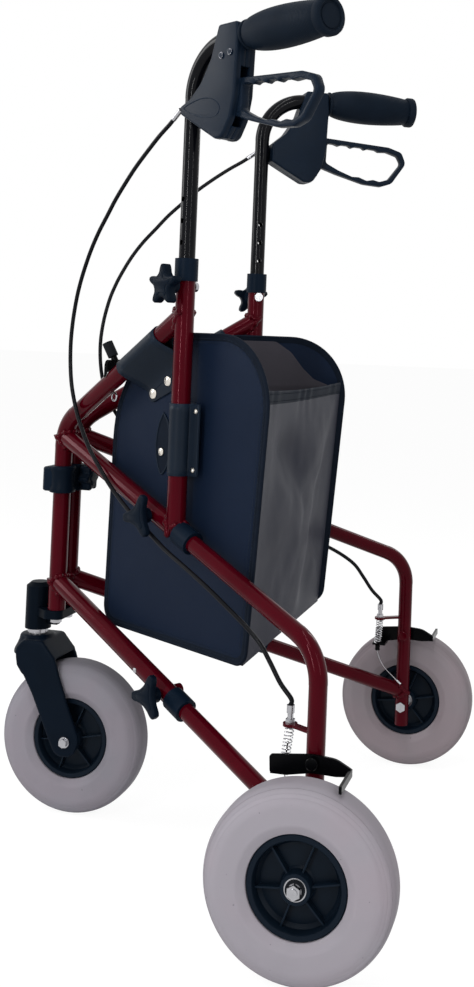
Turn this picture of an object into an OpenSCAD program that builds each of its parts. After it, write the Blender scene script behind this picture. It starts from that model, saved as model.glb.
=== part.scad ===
// Three wheel rollator: two folding side frames on a front hinge head with a swivel wheel,
// height adjustable handles with loop brakes, and a shopping bag between the frames.
// Millimetres, Z up, front towards -Y. The floor is z = 0 and the origin is under the middle.

/* [Tubes] */
// Outer diameter of the frame tubes
tube_od = 22.2; // [21.6:0.1:23.4]
// Wall of every tube
tube_wall = 1.5; // [1.2:0.1:1.8]
// Radial play of one tube that slides in another
slide_gap = 0.08; // [0.05:0.01:0.1]

/* [Side frame] */
// Angle of each side frame to the walking direction
splay = 31.6; // [29:0.1:33]
// Distance between the axes of the two front columns
column_spacing = 31.2; // [30:0.1:36]
// Lower end of the front columns
column_base_z = 255; // [252:1:258]
// Height at which the axes of column and diagonal cross
apex_z = 489.5; // [486:0.5:500]
// Bend radius at the top of the column
apex_bend_r = 50; // [42:1:56]
// Rise of the diagonal tube
diagonal_angle = 31.4; // [30:0.1:33]
// Distance from column to handle post
post_s = 237; // [230:1:245]
// Upper end of the handle post
post_top_z = 684; // [676:1:696]
// Height of the upper side tube at the column
upper_z = 476.8; // [474:0.2:480]
// Height of the lower side tube at the column
lower_z = 291.5; // [288:0.5:295]
// Fall of both side tubes towards the back
side_angle = 20.4; // [19.5:0.1:21]
// Where both side tubes end, counted from the column
socket_s = 256; // [250:1:262]
// Length of rear section inside a side tube
plug_length = 84; // [70:1:95]

/* [Rear leg] */
// Distance from column to rear leg
leg_s = 475; // [465:1:485]
// Bend radius above the rear leg
leg_bend_r = 47; // [40:1:55]
// Lower end of the rear leg
leg_base_z = 68; // [60:1:76]
// Height of the bracket that holds the brake cable
bracket_z = 218; // [214:1:224]
// Reach of that bracket from the leg
bracket_reach = 38; // [36:1:40]

/* [Wheels] */
// Diameter of all three wheels
wheel_d = 190; // [186:1:194]
// Width of a tyre
tyre_w = 45; // [40:0.5:46]
// Diameter of the plastic hub
hub_d = 102; // [96:1:106]
// Diameter of the wheel bolts
axle_d = 8; // [7:0.5:9]
// Distance from rear leg to the middle of its wheel
wheel_offset = 44; // [43:0.5:48]

/* [Caster] */
// Distance of the swivel stem ahead of the columns
caster_lead = 32.5; // [31.5:0.5:36]
// Distance of the front axle behind the stem
caster_trail = 59; // [54:1:64]
// Diameter of the swivel stem
stem_d = 16; // [14:0.5:18]
// Outer diameter of the stem housing
stem_housing_d = 33; // [30:0.5:36]
// Upper face of the fork
fork_top_z = 219.5; // [218:0.5:221]
// Wall of a fork leg
fork_wall = 7; // [6:0.5:8]

/* [Handle] */
// Height of the grip axis
grip_z = 943.5; // [930:0.5:955]
// Bend radius of the handle tube
handle_bend_r = 60; // [57:1:63]
// Lower end of the handle tube
handle_base_z = 548; // [540:1:556]
// Rear end of the handle tube, counted from the column
handle_end_s = 455; // [450:1:460]
// Length of the grip
grip_length = 129; // [124:1:132]
// Largest diameter of the grip
grip_d = 44; // [40:0.5:46]
// Spacing of the height holes
height_step = 25; // [20:1:28]
// Width of the brake lever
lever_w = 12; // [10:0.5:13]

/* [Knobs] */
// Radius of the star knobs on the handle posts
star_r = 24; // [21:0.5:26]
// Radius of the three lobed knobs on the side tubes
lobe_r = 26; // [23:0.5:27]
// Diameter of the knob screws
screw_d = 6; // [5:0.5:7]
// Distance of the upper knob from the column
upper_knob_s = 203; // [198:1:208]
// Distance of the lower knob from the column
lower_knob_s = 234; // [228:1:235]

/* [Brake] */
// Height of the brake plate's pivot
brake_pivot_z = 195; // [193:0.5:198]
// Thickness of the brake plate
plate_t = 3; // [2.5:0.1:3.5]
// Gap between brake tab and tyre
tab_gap = 3.6; // [3.4:0.1:4.4]
// Wire of the return spring
spring_wire = 1.2; // [1:0.1:1.4]
// Mean diameter of the return spring
spring_d = 9; // [8:0.2:10]
// Turns of the return spring
spring_turns = 10; // [7:1:11]
// Diameter of the brake cable
cable_d = 5; // [4:0.2:5.4]

/* [Bag] */
// Lower edge of the bag
bag_base_z = 252; // [246:1:258]
// Upper edge of the side panels
bag_top_z = 612; // [604:1:618]
// Upper edge of the cloth at the back
hem_z = 552; // [540:1:560]
// Thickness of a side panel
panel_t = 3; // [2:0.2:3.6]
// Thickness of the cloth between the panels
cloth_t = 1.6; // [1:0.1:2]

/* [Locking bar] */
// Distance from the columns to the locking bar, along the diagonals
bar_s = 95; // [92:1:98]
// Thickness of the locking bar
bar_t = 4; // [3:0.2:4.4]

/* [Hidden] */
$fn = 48;

frame_red = [0.36, 0.05, 0.10];
plastic_black = [0.07, 0.08, 0.11];
rubber_black = [0.06, 0.07, 0.10];
tube_black = [0.03, 0.03, 0.04];
zinc = [0.72, 0.72, 0.74];
tyre_grey = [0.66, 0.63, 0.65];
bag_navy = [0.11, 0.16, 0.23];
cloth_grey = [0.34, 0.32, 0.36];

weld_gap = 0.05;
run_gap = 0.05;
clear_gap = 0.4;
cut_over = 1;
bend_overlap = 0.5;
bend_swell = 0.2;

tube_r = tube_od / 2;
bore_r = tube_r - tube_wall;
inner_r = bore_r - slide_gap;
inner_bore_r = inner_r - tube_wall;
screw_r = screw_d / 2;
axle_r = axle_d / 2;
stem_r = stem_d / 2;
wheel_r = wheel_d / 2;
hub_r = hub_d / 2;
cable_r = cable_d / 2;

column_x = column_spacing / 2;
leg_x = column_x + leg_s * sin(splay);
leg_y = leg_s * cos(splay);
front_wheel_y = caster_trail - caster_lead;
column_y = -(front_wheel_y + leg_y) / 2;

// Heights of the tube axes at a distance s behind the column, in the side frame's plane
function diagonal_axis(s) = apex_z + s * tan(diagonal_angle);
function upper_axis(s) = upper_z - s * tan(side_angle);
function lower_axis(s) = lower_z - s * tan(side_angle);

// Plane outlines with rounded corners: each point is [x, y, radius]
function unit(v) = v / norm(v);
function flat(p) = [p[0], p[1]];
function turned(v) = atan2(v[1], v[0]);
function half_turn(a) = a > 180 ? a - 360 : a < -180 ? a + 360 : a;
function corner(a, b, c, r, steps) =
  let (u = unit(a - b), v = unit(c - b), half = acos(u * v) / 2,
       centre = b + unit(u + v) * r / sin(half),
       first = turned(b + u * r / tan(half) - centre),
       sweep = half_turn(turned(b + v * r / tan(half) - centre) - first))
  [for (i = [0:steps]) centre + r * [cos(first + sweep * i / steps), sin(first + sweep * i / steps)]];
function rounded(points, steps = 6) =
  let (n = len(points))
  [for (i = [0:n - 1])
    each points[i][2] == 0
      ? [flat(points[i])]
      : corner(flat(points[(i + n - 1) % n]), flat(points[i]), flat(points[(i + 1) % n]),
               points[i][2], steps)];

// A tube swept along points: rings of a few sides, carried along without twist
function tangents(path) =
  let (last = len(path) - 1)
  [for (i = [0:last]) unit(path[min(i + 1, last)] - path[max(i - 1, 0)])];
function square_to(v, t) = unit(v - (v * t) * t);
function carried(ts, start) =
  [for (i = 0, n = square_to(start, ts[0]); i < len(ts);
        n = i + 1 < len(ts) ? square_to(n, ts[i + 1]) : n, i = i + 1) n];
function ring_points(path, r, sides, start) =
  let (ts = tangents(path), ns = carried(ts, start))
  [for (i = [0:len(path) - 1], k = [0:sides - 1])
    let (b = cross(ts[i], ns[i]), a = 360 * k / sides)
    path[i] + r * (cos(a) * ns[i] + sin(a) * b)];
function ring_faces(rings, sides) =
  [for (k = [1:sides - 2]) [0, k, k + 1],
   for (i = [0:rings - 2], k = [0:sides - 1])
     let (a = i * sides + k, b = i * sides + (k + 1) % sides)
     each [[a, a + sides, b], [b, a + sides, b + sides]],
   for (k = [1:sides - 2]) let (e = (rings - 1) * sides) [e, e + k + 1, e + k]];
module swept_tube(path, r, sides, start) {
  polyhedron(ring_points(path, r, sides, start), ring_faces(len(path), sides));
}
// A smooth curve through the points of a route
function between(a, b, c, d, t) =
  0.5 * (2 * b + (c - a) * t + (2 * a - 5 * b + 4 * c - d) * t * t + (3 * b - a - 3 * c + d) * t * t * t);
function smooth_route(p, steps) =
  let (last = len(p) - 1)
  [for (i = [0:last - 1], k = [0:steps - 1])
     between(p[max(i - 1, 0)], p[i], p[i + 1], p[min(i + 2, last)], k / steps),
   p[last]];

// Placing: the right side mirrors the left, and a side frame has X backwards, Y inboard, Z up
module on_side(side) {
  if (side == "right") mirror([1, 0, 0]) children();
  else children();
}
module in_side_frame() {
  translate([column_x, column_y, 0]) rotate([0, 0, 90 - splay]) children();
}
module at_leg() {
  translate([leg_x, column_y + leg_y, 0]) children();
}
module at_head() {
  translate([0, column_y, 0]) children();
}
// Z of the children points outboard at a place of the side frame
module outboard_at(s, z) {
  translate([s, 0, z]) rotate([90, 0, 0]) children();
}
// Z of the children points outboard along the wheel axles
module axle_wise() {
  rotate([0, 90, 0]) children();
}

// Rods in a side frame's plane, with points given as [s, z]
module rod(from, to, r, before = 0, after = 0) {
  run = to - from;
  translate([from[0], 0, from[1]])
    rotate([0, 90 - turned(run), 0])
      translate([0, 0, -before]) cylinder(r = r, h = norm(run) + before + after);
}
module bent_rod(from, bend, to, bend_r, r, before = 0, after = 0) {
  u = unit(from - bend);
  v = unit(to - bend);
  half = acos(u * v) / 2;
  centre = bend + unit(u + v) * bend_r / sin(half);
  first = bend + u * bend_r / tan(half);
  last = bend + v * bend_r / tan(half);
  sweep = half_turn(turned(last - centre) - turned(first - centre));
  rod(from, first, r, before = before, after = bend_overlap);
  rod(last, to, r, before = bend_overlap, after = after);
  translate([centre[0], 0, centre[1]]) rotate([90, 0, 0])
    rotate([0, 0, turned(first - centre) + min(sweep, 0)])
      rotate_extrude(angle = abs(sweep)) translate([bend_r, 0]) circle(r = r + bend_swell);
}
module tube(from, to, r, bore) {
  difference() {
    rod(from, to, r);
    rod(from, to, bore, before = cut_over, after = cut_over);
  }
}
module bent_tube(from, bend, to, bend_r, r, bore) {
  difference() {
    bent_rod(from, bend, to, bend_r, r);
    bent_rod(from, bend, to, bend_r, bore, before = cut_over, after = cut_over);
  }
}
module ring(r, bore, h) {
  difference() {
    cylinder(r = r, h = h);
    translate([0, 0, -cut_over]) cylinder(r = bore, h = h + 2 * cut_over);
  }
}

// Front tube: column, bend and diagonal in one piece, coped to the post
column_foot = [0, column_base_z];
apex = [0, apex_z];
diagonal_end = [post_s, diagonal_axis(post_s)];
lug_gap = 0.6;
lug_t = 4;
bar_y = bar_s * cos(splay);
bar_tube_x = column_x + bar_s * sin(splay);
bar_pivot_x = -bar_tube_x + 18;
bar_pivot_z = diagonal_axis(bar_s) + 20;
bar_bolt_r = 4;
lug_y = bar_y + bar_t / 2 + lug_gap;

module front_tube_solid(r) {
  bent_rod(column_foot, apex, diagonal_end, apex_bend_r, r);
}
// Lug on the right diagonal that carries the locking bar's pivot
module bar_lug() {
  lug_outline = [[bar_pivot_x - 22, -26, 0], [bar_pivot_x + 6, -8, 3], [bar_pivot_x + 11, 9, 8],
                 [bar_pivot_x - 8, 11, 8], [bar_pivot_x - 30, -10, 0]];
  translate([0, lug_y + lug_t, bar_pivot_z]) rotate([90, 0, 0])
    linear_extrude(lug_t) polygon(rounded(lug_outline));
}
module front_tube(side) {
  color(frame_red) {
    on_side(side) in_side_frame() difference() {
      bent_tube(column_foot, apex, diagonal_end, apex_bend_r, tube_r, bore_r);
      rod(diagonal_end - [0, 2 * tube_od], diagonal_end + [0, 2 * tube_od], tube_r + weld_gap);
    }
    if (side == "right") difference() {
      at_head() bar_lug();
      on_side(side) in_side_frame() front_tube_solid(bore_r + tube_wall / 2);
      at_head() translate([bar_pivot_x, lug_y - cut_over, bar_pivot_z]) rotate([-90, 0, 0])
        cylinder(r = bar_bolt_r + run_gap, h = lug_t + 2 * cut_over);
    }
  }
}

// Handle post, coped to the upper side tube, drilled for the height knob
knob_z = post_top_z - 18;
module post(side) {
  color(frame_red) on_side(side) in_side_frame() difference() {
    tube([post_s, upper_axis(post_s)], [post_s, post_top_z], tube_r, bore_r);
    rod([0, upper_z], [socket_s, upper_axis(socket_s)], tube_r + weld_gap, after = tube_od);
    outboard_at(post_s, knob_z)
      translate([0, 0, -tube_od]) cylinder(r = screw_r + run_gap, h = 2 * tube_od);
  }
}

// Side tubes, coped to the column, each with a welded nut inboard of its knob
nut_r = 7;
nut_h = 7;
module side_tube(from, to, knob) {
  difference() {
    union() {
      rod(from, to, tube_r);
      outboard_at(knob[0], knob[1])
        translate([0, 0, -tube_r - nut_h]) cylinder(r = nut_r, h = tube_r + nut_h);
    }
    rod(from, to, bore_r, before = cut_over, after = cut_over);
    front_tube_solid(tube_r + weld_gap);
    outboard_at(knob[0], knob[1])
      translate([0, 0, -2 * tube_od]) cylinder(r = screw_r + run_gap, h = 4 * tube_od);
  }
}
bend_rise = upper_z - apex_z + apex_bend_r * tan((90 - diagonal_angle) / 2);
upper_start_s = apex_bend_r - sqrt(apex_bend_r * apex_bend_r - bend_rise * bend_rise);
upper_knob_at = [upper_knob_s, upper_axis(upper_knob_s)];
lower_knob_at = [lower_knob_s, lower_axis(lower_knob_s)];
module upper_tube(side) {
  color(frame_red) on_side(side) in_side_frame()
    side_tube([upper_start_s, upper_axis(upper_start_s)], [socket_s, upper_axis(socket_s)], upper_knob_at);
}
module lower_tube(side) {
  color(frame_red) on_side(side) in_side_frame()
    side_tube([0, lower_z], [socket_s, lower_axis(socket_s)], lower_knob_at);
}

// Rear leg: plug end, arm, bend and leg in one piece, with the cable bracket
plug_s = socket_s - plug_length;
bracket_t = 3;
eye_r = 7.5;
adjuster_r = 3;
bracket_s = leg_s - bracket_reach;
module leg_solid(r) {
  bent_rod([plug_s, upper_axis(plug_s)], [leg_s, upper_axis(leg_s)], [leg_s, leg_base_z], leg_bend_r, r);
}
module cable_bracket() {
  translate([bracket_s, 0, bracket_z]) {
    cylinder(r = eye_r, h = bracket_t);
    translate([0, -eye_r / 2, 0]) cube([bracket_reach, eye_r, bracket_t]);
  }
}
module rear_leg(side) {
  color(frame_red) on_side(side) difference() {
    in_side_frame() difference() {
      union() {
        leg_solid(inner_r);
        cable_bracket();
      }
      bent_rod([plug_s, upper_axis(plug_s)], [leg_s, upper_axis(leg_s)], [leg_s, leg_base_z],
               leg_bend_r, inner_bore_r, before = cut_over, after = cut_over);
      translate([bracket_s, 0, bracket_z - cut_over])
        cylinder(r = adjuster_r + run_gap, h = bracket_t + 2 * cut_over);
      outboard_at(upper_knob_at[0], upper_knob_at[1])
        translate([0, 0, -tube_od]) cylinder(r = screw_r + run_gap, h = 2 * tube_od);
    }
    at_leg() translate([-tube_od, 0, wheel_r]) axle_wise() cylinder(r = axle_r + run_gap, h = 2 * tube_od);
    at_leg() translate([-tube_od, 0, brake_pivot_z]) axle_wise()
      cylinder(r = pivot_r + run_gap, h = 2 * tube_od);
  }
}
module lower_arm(side) {
  color(frame_red) on_side(side) in_side_frame() difference() {
    tube([plug_s, lower_axis(plug_s)], [leg_s, lower_axis(leg_s)], inner_r, inner_bore_r);
    rod([leg_s, leg_base_z], [leg_s, upper_axis(leg_s)], inner_r + weld_gap);
    outboard_at(lower_knob_at[0], lower_knob_at[1])
      translate([0, 0, -tube_od]) cylinder(r = screw_r + run_gap, h = 2 * tube_od);
  }
}

// Plastic collars over the tube ends and plugs inside them
collar_t = 2.4;
collar_over = 12;
collar_beyond = 14;
hinge_bolt_r = 4;
hinge_bolt_reach = 24;
module collar() {
  difference() {
    translate([0, 0, -collar_over]) cylinder(r = tube_r + collar_t, h = collar_over + collar_beyond);
    translate([0, 0, -collar_over - cut_over]) cylinder(r = tube_r + weld_gap, h = collar_over + cut_over);
    cylinder(r = inner_r + slide_gap, h = collar_beyond + cut_over);
  }
}
module collar_on(end) {
  translate([end[0], 0, end[1]]) rotate([0, 90 + side_angle, 0]) collar();
}
module tube_fittings(side) {
  color(plastic_black) on_side(side) in_side_frame() {
    translate([post_s, 0, post_top_z]) collar();
    collar_on([socket_s, upper_axis(socket_s)]);
    collar_on([socket_s, lower_axis(socket_s)]);
    translate([0, 0, column_base_z]) ring(bore_r - weld_gap, hinge_bolt_r + run_gap, hinge_bolt_reach + 2);
    translate([leg_s, 0, leg_base_z]) cylinder(r = inner_bore_r - weld_gap, h = 6);
  }
}

// Wheel bolt with spacer, brake pivot bolt and the bolt end in the handle post
pivot_r = 3;
bolt_head_h = 4;
spacer_r = 8;
plate_x = inner_r + 1;
plate_out_x = plate_x + plate_t;
hub_half_w = tyre_w / 2 - 2;
module hex_head(r, h) {
  cylinder(r = r, h = h, $fn = 6);
}
module frame_bolts(side) {
  color(zinc) on_side(side) {
    at_leg() translate([0, 0, wheel_r]) axle_wise() {
      translate([0, 0, -inner_r - bolt_head_h]) hex_head(axle_r * 1.8, bolt_head_h);
      translate([0, 0, -inner_r - 1]) cylinder(r = axle_r, h = inner_r + 1 + wheel_offset + tyre_w / 2 + 6);
      translate([0, 0, inner_r + weld_gap])
        cylinder(r = spacer_r, h = wheel_offset - hub_half_w - inner_r - weld_gap - clear_gap);
      translate([0, 0, wheel_offset + hub_half_w + clear_gap]) cylinder(r = axle_r * 2.1, h = 1.6);
      translate([0, 0, wheel_offset + hub_half_w + clear_gap + 1.6]) hex_head(axle_r * 1.8, 5);
    }
    at_leg() translate([0, 0, brake_pivot_z]) axle_wise() {
      translate([0, 0, -inner_r - bolt_head_h]) cylinder(r = pivot_r * 1.9, h = bolt_head_h);
      translate([0, 0, -inner_r - 1]) cylinder(r = pivot_r, h = inner_r + 1 + plate_out_x + bolt_head_h);
      translate([0, 0, plate_out_x + clear_gap]) hex_head(pivot_r * 1.8, bolt_head_h - 1);
    }
    in_side_frame() outboard_at(post_s, knob_z) {
      translate([0, 0, -tube_r - bolt_head_h]) cylinder(r = screw_r * 1.9, h = bolt_head_h);
      translate([0, 0, -tube_r - 1]) cylinder(r = screw_r, h = 1 + tube_wall - clear_gap / 2);
    }
  }
  if (side == "right") color(zinc)
    at_head() translate([bar_pivot_x, bar_y - bar_t / 2 - clear_gap, bar_pivot_z]) rotate([-90, 0, 0]) {
      bolt_run = bar_t + clear_gap + lug_gap + lug_t + weld_gap;
      translate([0, 0, -3]) cylinder(r = bar_bolt_r * 1.8, h = 3);
      cylinder(r = bar_bolt_r, h = bolt_run + 1);
      translate([0, 0, bolt_run]) hex_head(bar_bolt_r * 1.7, bolt_head_h);
    }
}

// Threaded barrel and lock nut that end the cable's sleeve in the bracket
adjuster_top = 16;
module cable_adjuster(side) {
  color(zinc) on_side(side) in_side_frame() translate([bracket_s, 0, bracket_z + bracket_t]) difference() {
    union() {
      translate([0, 0, -bracket_t - 2]) cylinder(r = adjuster_r, h = bracket_t + 2 + adjuster_top);
      translate([0, 0, weld_gap]) hex_head(5, 4);
      translate([0, 0, adjuster_top - 6]) cylinder(r = 4, h = 8);
    }
    translate([0, 0, -bracket_t - 6]) cylinder(r = 1.4, h = 40);
    translate([0, 0, adjuster_top - 1]) cylinder(r = cable_r + run_gap, h = 10);
  }
}

// Brake cable: from the housing's ferrule forward, down past the column and along the side tubes
ferrule_at = [230.5, -14.5, grip_z - 77.1];
ferrule_way = unit([-0.81, 0, -0.59]);
ferrule_length = 13;
cable_route = concat(
  [for (d = [0.4, 9]) ferrule_at + (ferrule_length + d) * ferrule_way],
  [[194.3, -15, 841.5], [171.7, -15, 825], [150.7, -15.5, 808], [132.3, -16, 790.5], [113.6, -16, 772],
   [97.8, -16, 753.6], [80.7, -16, 733.5], [67, -16, 714], [56, -16, 694.5], [46.5, -16, 674.5], [38.5, -16, 652],
   [32, -16, 622], [29.5, -16, 592], [32, -16, 560], [39, -16, 533], [54.3, -16, 502], [78.9, -17, 471],
   [102.6, -17, 449], [130.3, -17, 426.5], [165.4, -17, 404.5], [190, -17, 392], [215.2, -17, 380],
   [243.5, -17, 366.7], [281.8, -17, 352.5], [318.8, -17, 338], [353.4, -16, 322], [378.9, -14, 308.6],
   [399.2, -11, 294], [412.1, -7.5, 276.8], [424.5, -4, 258.5]],
  [for (h = [6, 0.4]) [bracket_s, 0, bracket_z + bracket_t + adjuster_top + 2 + h]]);
cable_steps = 2;
module brake_cable(side) {
  color(tube_black) on_side(side) in_side_frame()
    swept_tube(smooth_route(cable_route, cable_steps), cable_r, 8, [0, 1, 0]);
}

// Brake plate on the outboard side of the leg: arched strip, inward flange and tab over the tyre
flange_y = -43;
flange_z = -12;
flange_reach = 26;
tab_y = 38;
tab_bottom = sqrt(wheel_r * wheel_r - tab_y * tab_y) + wheel_r - brake_pivot_z + tab_gap;
tab_reach = wheel_offset + tyre_w / 2 - plate_x - 8;
wire_r = 0.8;
spring_foot = [leg_x - 15, leg_y - 35.5];
plate_outline = [[-44, 4, 3], [-43, -14, 3], [-25, -14, 4], [0, -9.5, 40], [24, -10.5, 20], [35, tab_bottom, 1],
                 [40, tab_bottom, 1], [40, -2, 3], [24, 6.5, 24], [0, 8.5, 60]];
module brake_plate(side) {
  color(plastic_black) on_side(side) at_leg() translate([0, 0, brake_pivot_z]) {
    difference() {
      union() {
        translate([plate_x, 0, 0]) rotate([90, 0, 90]) linear_extrude(plate_t)
          polygon(rounded(plate_outline));
        translate([plate_x, tab_y - 1, tab_bottom]) cube([tab_reach, plate_t, -2 - tab_bottom]);
        translate([plate_x - flange_reach, flange_y, flange_z - plate_t])
          cube([flange_reach + 1, 18, plate_t]);
      }
      translate([plate_x - cut_over, 0, 0]) axle_wise() cylinder(r = pivot_r + run_gap, h = 20);
      translate([spring_foot[0] - leg_x, spring_foot[1] - leg_y, flange_z - 20]) cylinder(r = 2, h = 40);
    }
    translate([spring_foot[0] - leg_x, spring_foot[1] - leg_y, flange_z - plate_t]) {
      translate([0, 0, -7]) cylinder(r = 3.4, h = 7 - weld_gap);
      rotate([0, acos(spring_way[2]), atan2(spring_way[1], spring_way[0])])
        translate([0, 0, -cut_over]) cylinder(r = wire_r, h = 24);
    }
  }
}

// Return spring between the bracket and the flange, one wire with straight ends
spring_top = [column_x + bracket_s * sin(splay), bracket_s * cos(splay), bracket_z - clear_gap];
spring_base = [spring_foot[0], spring_foot[1], brake_pivot_z + flange_z + clear_gap];
spring_way = unit(spring_top - spring_base);
spring_length = norm(spring_top - spring_base);
spring_side = unit(cross(spring_way, [0, 1, 0]));
spring_depth = cross(spring_way, spring_side);
curl_rings = 8;
function spring_point(a, h) =
  spring_base + spring_d / 2 * (cos(a) * spring_side + sin(a) * spring_depth) + h * spring_way;
spring_path = concat(
  [spring_point(0, 0)],
  [for (i = [0:spring_turns * curl_rings])
    let (share = i / (spring_turns * curl_rings))
    spring_point(360 * i / curl_rings, spring_wire + share * (spring_length - 2 * spring_wire))],
  [spring_point(360 * spring_turns, spring_length)]);
spring_gap = min([for (i = [0:len(spring_path) - 1], k = [i + curl_rings / 2:len(spring_path) - 1])
  norm(spring_path[i] - spring_path[k])]) - spring_wire;
echo(spring_least_gap = spring_gap);
module brake_spring(side) {
  color(zinc) on_side(side) at_head()
    swept_tube(spring_path, spring_wire / 2, 6, spring_side);
}

// Bag panel: a stiff board inboard of the tubes, with a sleeve round the post and a strap on the diagonal
panel_y = tube_r + nut_h + 1;
strap_t = 1.4;
strap_gap = 0.3;
sleeve_z = [450, 532];
strap_s = [138, 196];
panel_outline = [[76, bag_base_z, 22], [84, bag_top_z, 135], [370, bag_top_z, 80], [342, bag_base_z, 18]];
module sleeve_web(length) {
  translate([0, 0, -3]) cube([length, panel_y + cut_over, 6]);
}
module bag_panel(side) {
  strap_way = [cos(diagonal_angle), sin(diagonal_angle)];
  strap_from = [strap_s[0], diagonal_axis(strap_s[0])];
  strap_length = (strap_s[1] - strap_s[0]) / strap_way[0];
  color(bag_navy) on_side(side) in_side_frame() difference() {
    union() {
      translate([0, panel_y + panel_t, 0]) rotate([90, 0, 0])
        linear_extrude(panel_t) polygon(rounded(panel_outline, 8));
      rod([post_s, sleeve_z[0]], [post_s, sleeve_z[1]], tube_r + strap_gap + strap_t);
      translate([post_s, 0, sleeve_z[0]]) rotate([0, -90, 0]) sleeve_web(sleeve_z[1] - sleeve_z[0]);
      rod(strap_from, strap_from + strap_length * strap_way, tube_r + strap_gap + strap_t);
      translate([strap_from[0], 0, strap_from[1]]) rotate([0, -diagonal_angle, 0]) sleeve_web(strap_length);
    }
    rod([post_s, 0], [post_s, post_top_z], tube_r + strap_gap);
    rod(apex, diagonal_end, tube_r + strap_gap);
  }
}

// Cloth between the panels: front, bottom and back in one piece
panel_in = panel_y + panel_t + clear_gap;
function inside_x(s) = column_x + s * sin(splay) - panel_in * cos(splay);
function inside_y(s) = s * cos(splay) + panel_in * sin(splay);
cloth_front_s = 82;
cloth_back_s = [336, 358];
cloth_front_top_z = 470;
back_lean = (inside_y(cloth_back_s[1]) - inside_y(cloth_back_s[0])) / (hem_z - bag_base_z);
back_trim = cloth_t * tan(splay) + clear_gap;
module bag_gusset() {
  color(cloth_grey) at_head() {
    half_low = inside_x(cloth_back_s[0]) - back_trim;
    half_high = inside_x(cloth_back_s[1]) - back_trim;
    back_h = (hem_z - bag_base_z) * sqrt(1 + back_lean * back_lean);
    back_base = [[-half_low, 0], [half_low, 0], [half_high, back_h], [-half_high, back_h]];
    front_half = inside_x(cloth_front_s);
    translate([0, inside_y(cloth_back_s[0]), bag_base_z]) rotate([90 - atan(back_lean), 0, 0])
      linear_extrude(cloth_t) polygon(back_base);
    translate([-front_half, inside_y(cloth_front_s), bag_base_z])
      cube([2 * front_half, cloth_t, cloth_front_top_z - bag_base_z]);
    floor_front = [front_half - cloth_t / 2, inside_y(cloth_front_s) + cloth_t / 2];
    floor_back = [inside_x(cloth_back_s[0]) - cloth_t / 2, inside_y(cloth_back_s[0]) - cloth_t / 2];
    translate([0, 0, bag_base_z + cloth_t / 4]) linear_extrude(cloth_t)
      polygon([[-floor_front[0], floor_front[1]], floor_front, floor_back, [-floor_back[0], floor_back[1]]]);
  }
}

// Handle tube: straight slide, bend and grip end, with a row of height holes
handle_foot = [post_s, handle_base_z];
handle_bend = [post_s, grip_z];
handle_end = [handle_end_s, grip_z];
height_holes = 4;
module handle_solid(r) {
  bent_rod(handle_foot, handle_bend, handle_end, handle_bend_r, r);
}
module handle_tube(side) {
  color(tube_black) on_side(side) in_side_frame() difference() {
    bent_tube(handle_foot, handle_bend, handle_end, handle_bend_r, inner_r, inner_bore_r);
    for (i = [-height_holes:height_holes])
      outboard_at(post_s, knob_z + i * height_step)
        translate([0, 0, -tube_od]) cylinder(r = screw_r, h = 2 * tube_od);
  }
}

// Soft grip with a swelling palm, a neck ring and an end flange with a sunk disc
grip_neck_r = 15.5;
grip_flange_r = 21;
grip_flange_w = 11;
grip_end_wall = 3;
grip_s = handle_end_s + grip_end_wall + 1 - grip_length;
grip_steps = 14;
grip_swell = grip_d / 2 - grip_neck_r;
function grip_radius(t) = grip_neck_r + grip_swell * pow(sin(180 * pow(t, 0.75)), 0.8) + 2.5 * t;
module grip(side) {
  barrel = grip_length - grip_flange_w;
  wall_profile = concat(
    [[inner_r + weld_gap, 0], [grip_neck_r + 1.5, 0], [grip_neck_r + 1.5, 3], [grip_neck_r, 4]],
    [for (i = [1:grip_steps]) let (t = i / grip_steps) [grip_radius(t), 4 + (barrel - 4) * t]],
    [[grip_flange_r, barrel + 1.5], [grip_flange_r, grip_length - 2], [grip_flange_r - 2, grip_length],
     [grip_flange_r - 5, grip_length], [grip_flange_r - 5, grip_length - 1.5], [0, grip_length - 1.5],
     [0, grip_length - grip_end_wall], [inner_r + weld_gap, grip_length - grip_end_wall]]);
  color(rubber_black) on_side(side) in_side_frame()
    translate([grip_s, 0, grip_z]) rotate([0, 90, 0]) rotate_extrude() polygon(wall_profile);
}

// Brake housing: two half shells clamped on the grip tube, with a nose that passes outboard of the tube
housing_out = 16;
housing_in = 13;
housing_split = -1.5;
nose_s = post_s + inner_r + 1.5;
lever_y = housing_split;
clamp_s = [post_s + handle_bend_r, grip_s - 2];
clamp_top = grip_z + inner_r + 4;
lever_pivot = [312, grip_z - 71.5];
function from_grip(corners) = [for (c = corners) [c[0], grip_z + c[1], c[2]]];
housing_outline = concat(
  [[clamp_s[0], clamp_top, 4], [clamp_s[1], clamp_top, 4]],
  from_grip([
    [clamp_s[1] + 1.4, -3.5, 6], [327, -67.5, 40], [321, -93.5, 12], [308, -114.5, 12], [296, -114.5, 8],
    [265, -98, 30], [234, -81, 3], [231.5, -72, 3], [250, -64, 10], [268, -48.5, 25], [284, -23.5, 20]]));
pocket_outline = from_grip([[297, -97.5, 3], [360, -109.5, 0], [360, -31.5, 0], [297, -37.5, 3]]);
housing_w = housing_in + housing_out;
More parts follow.
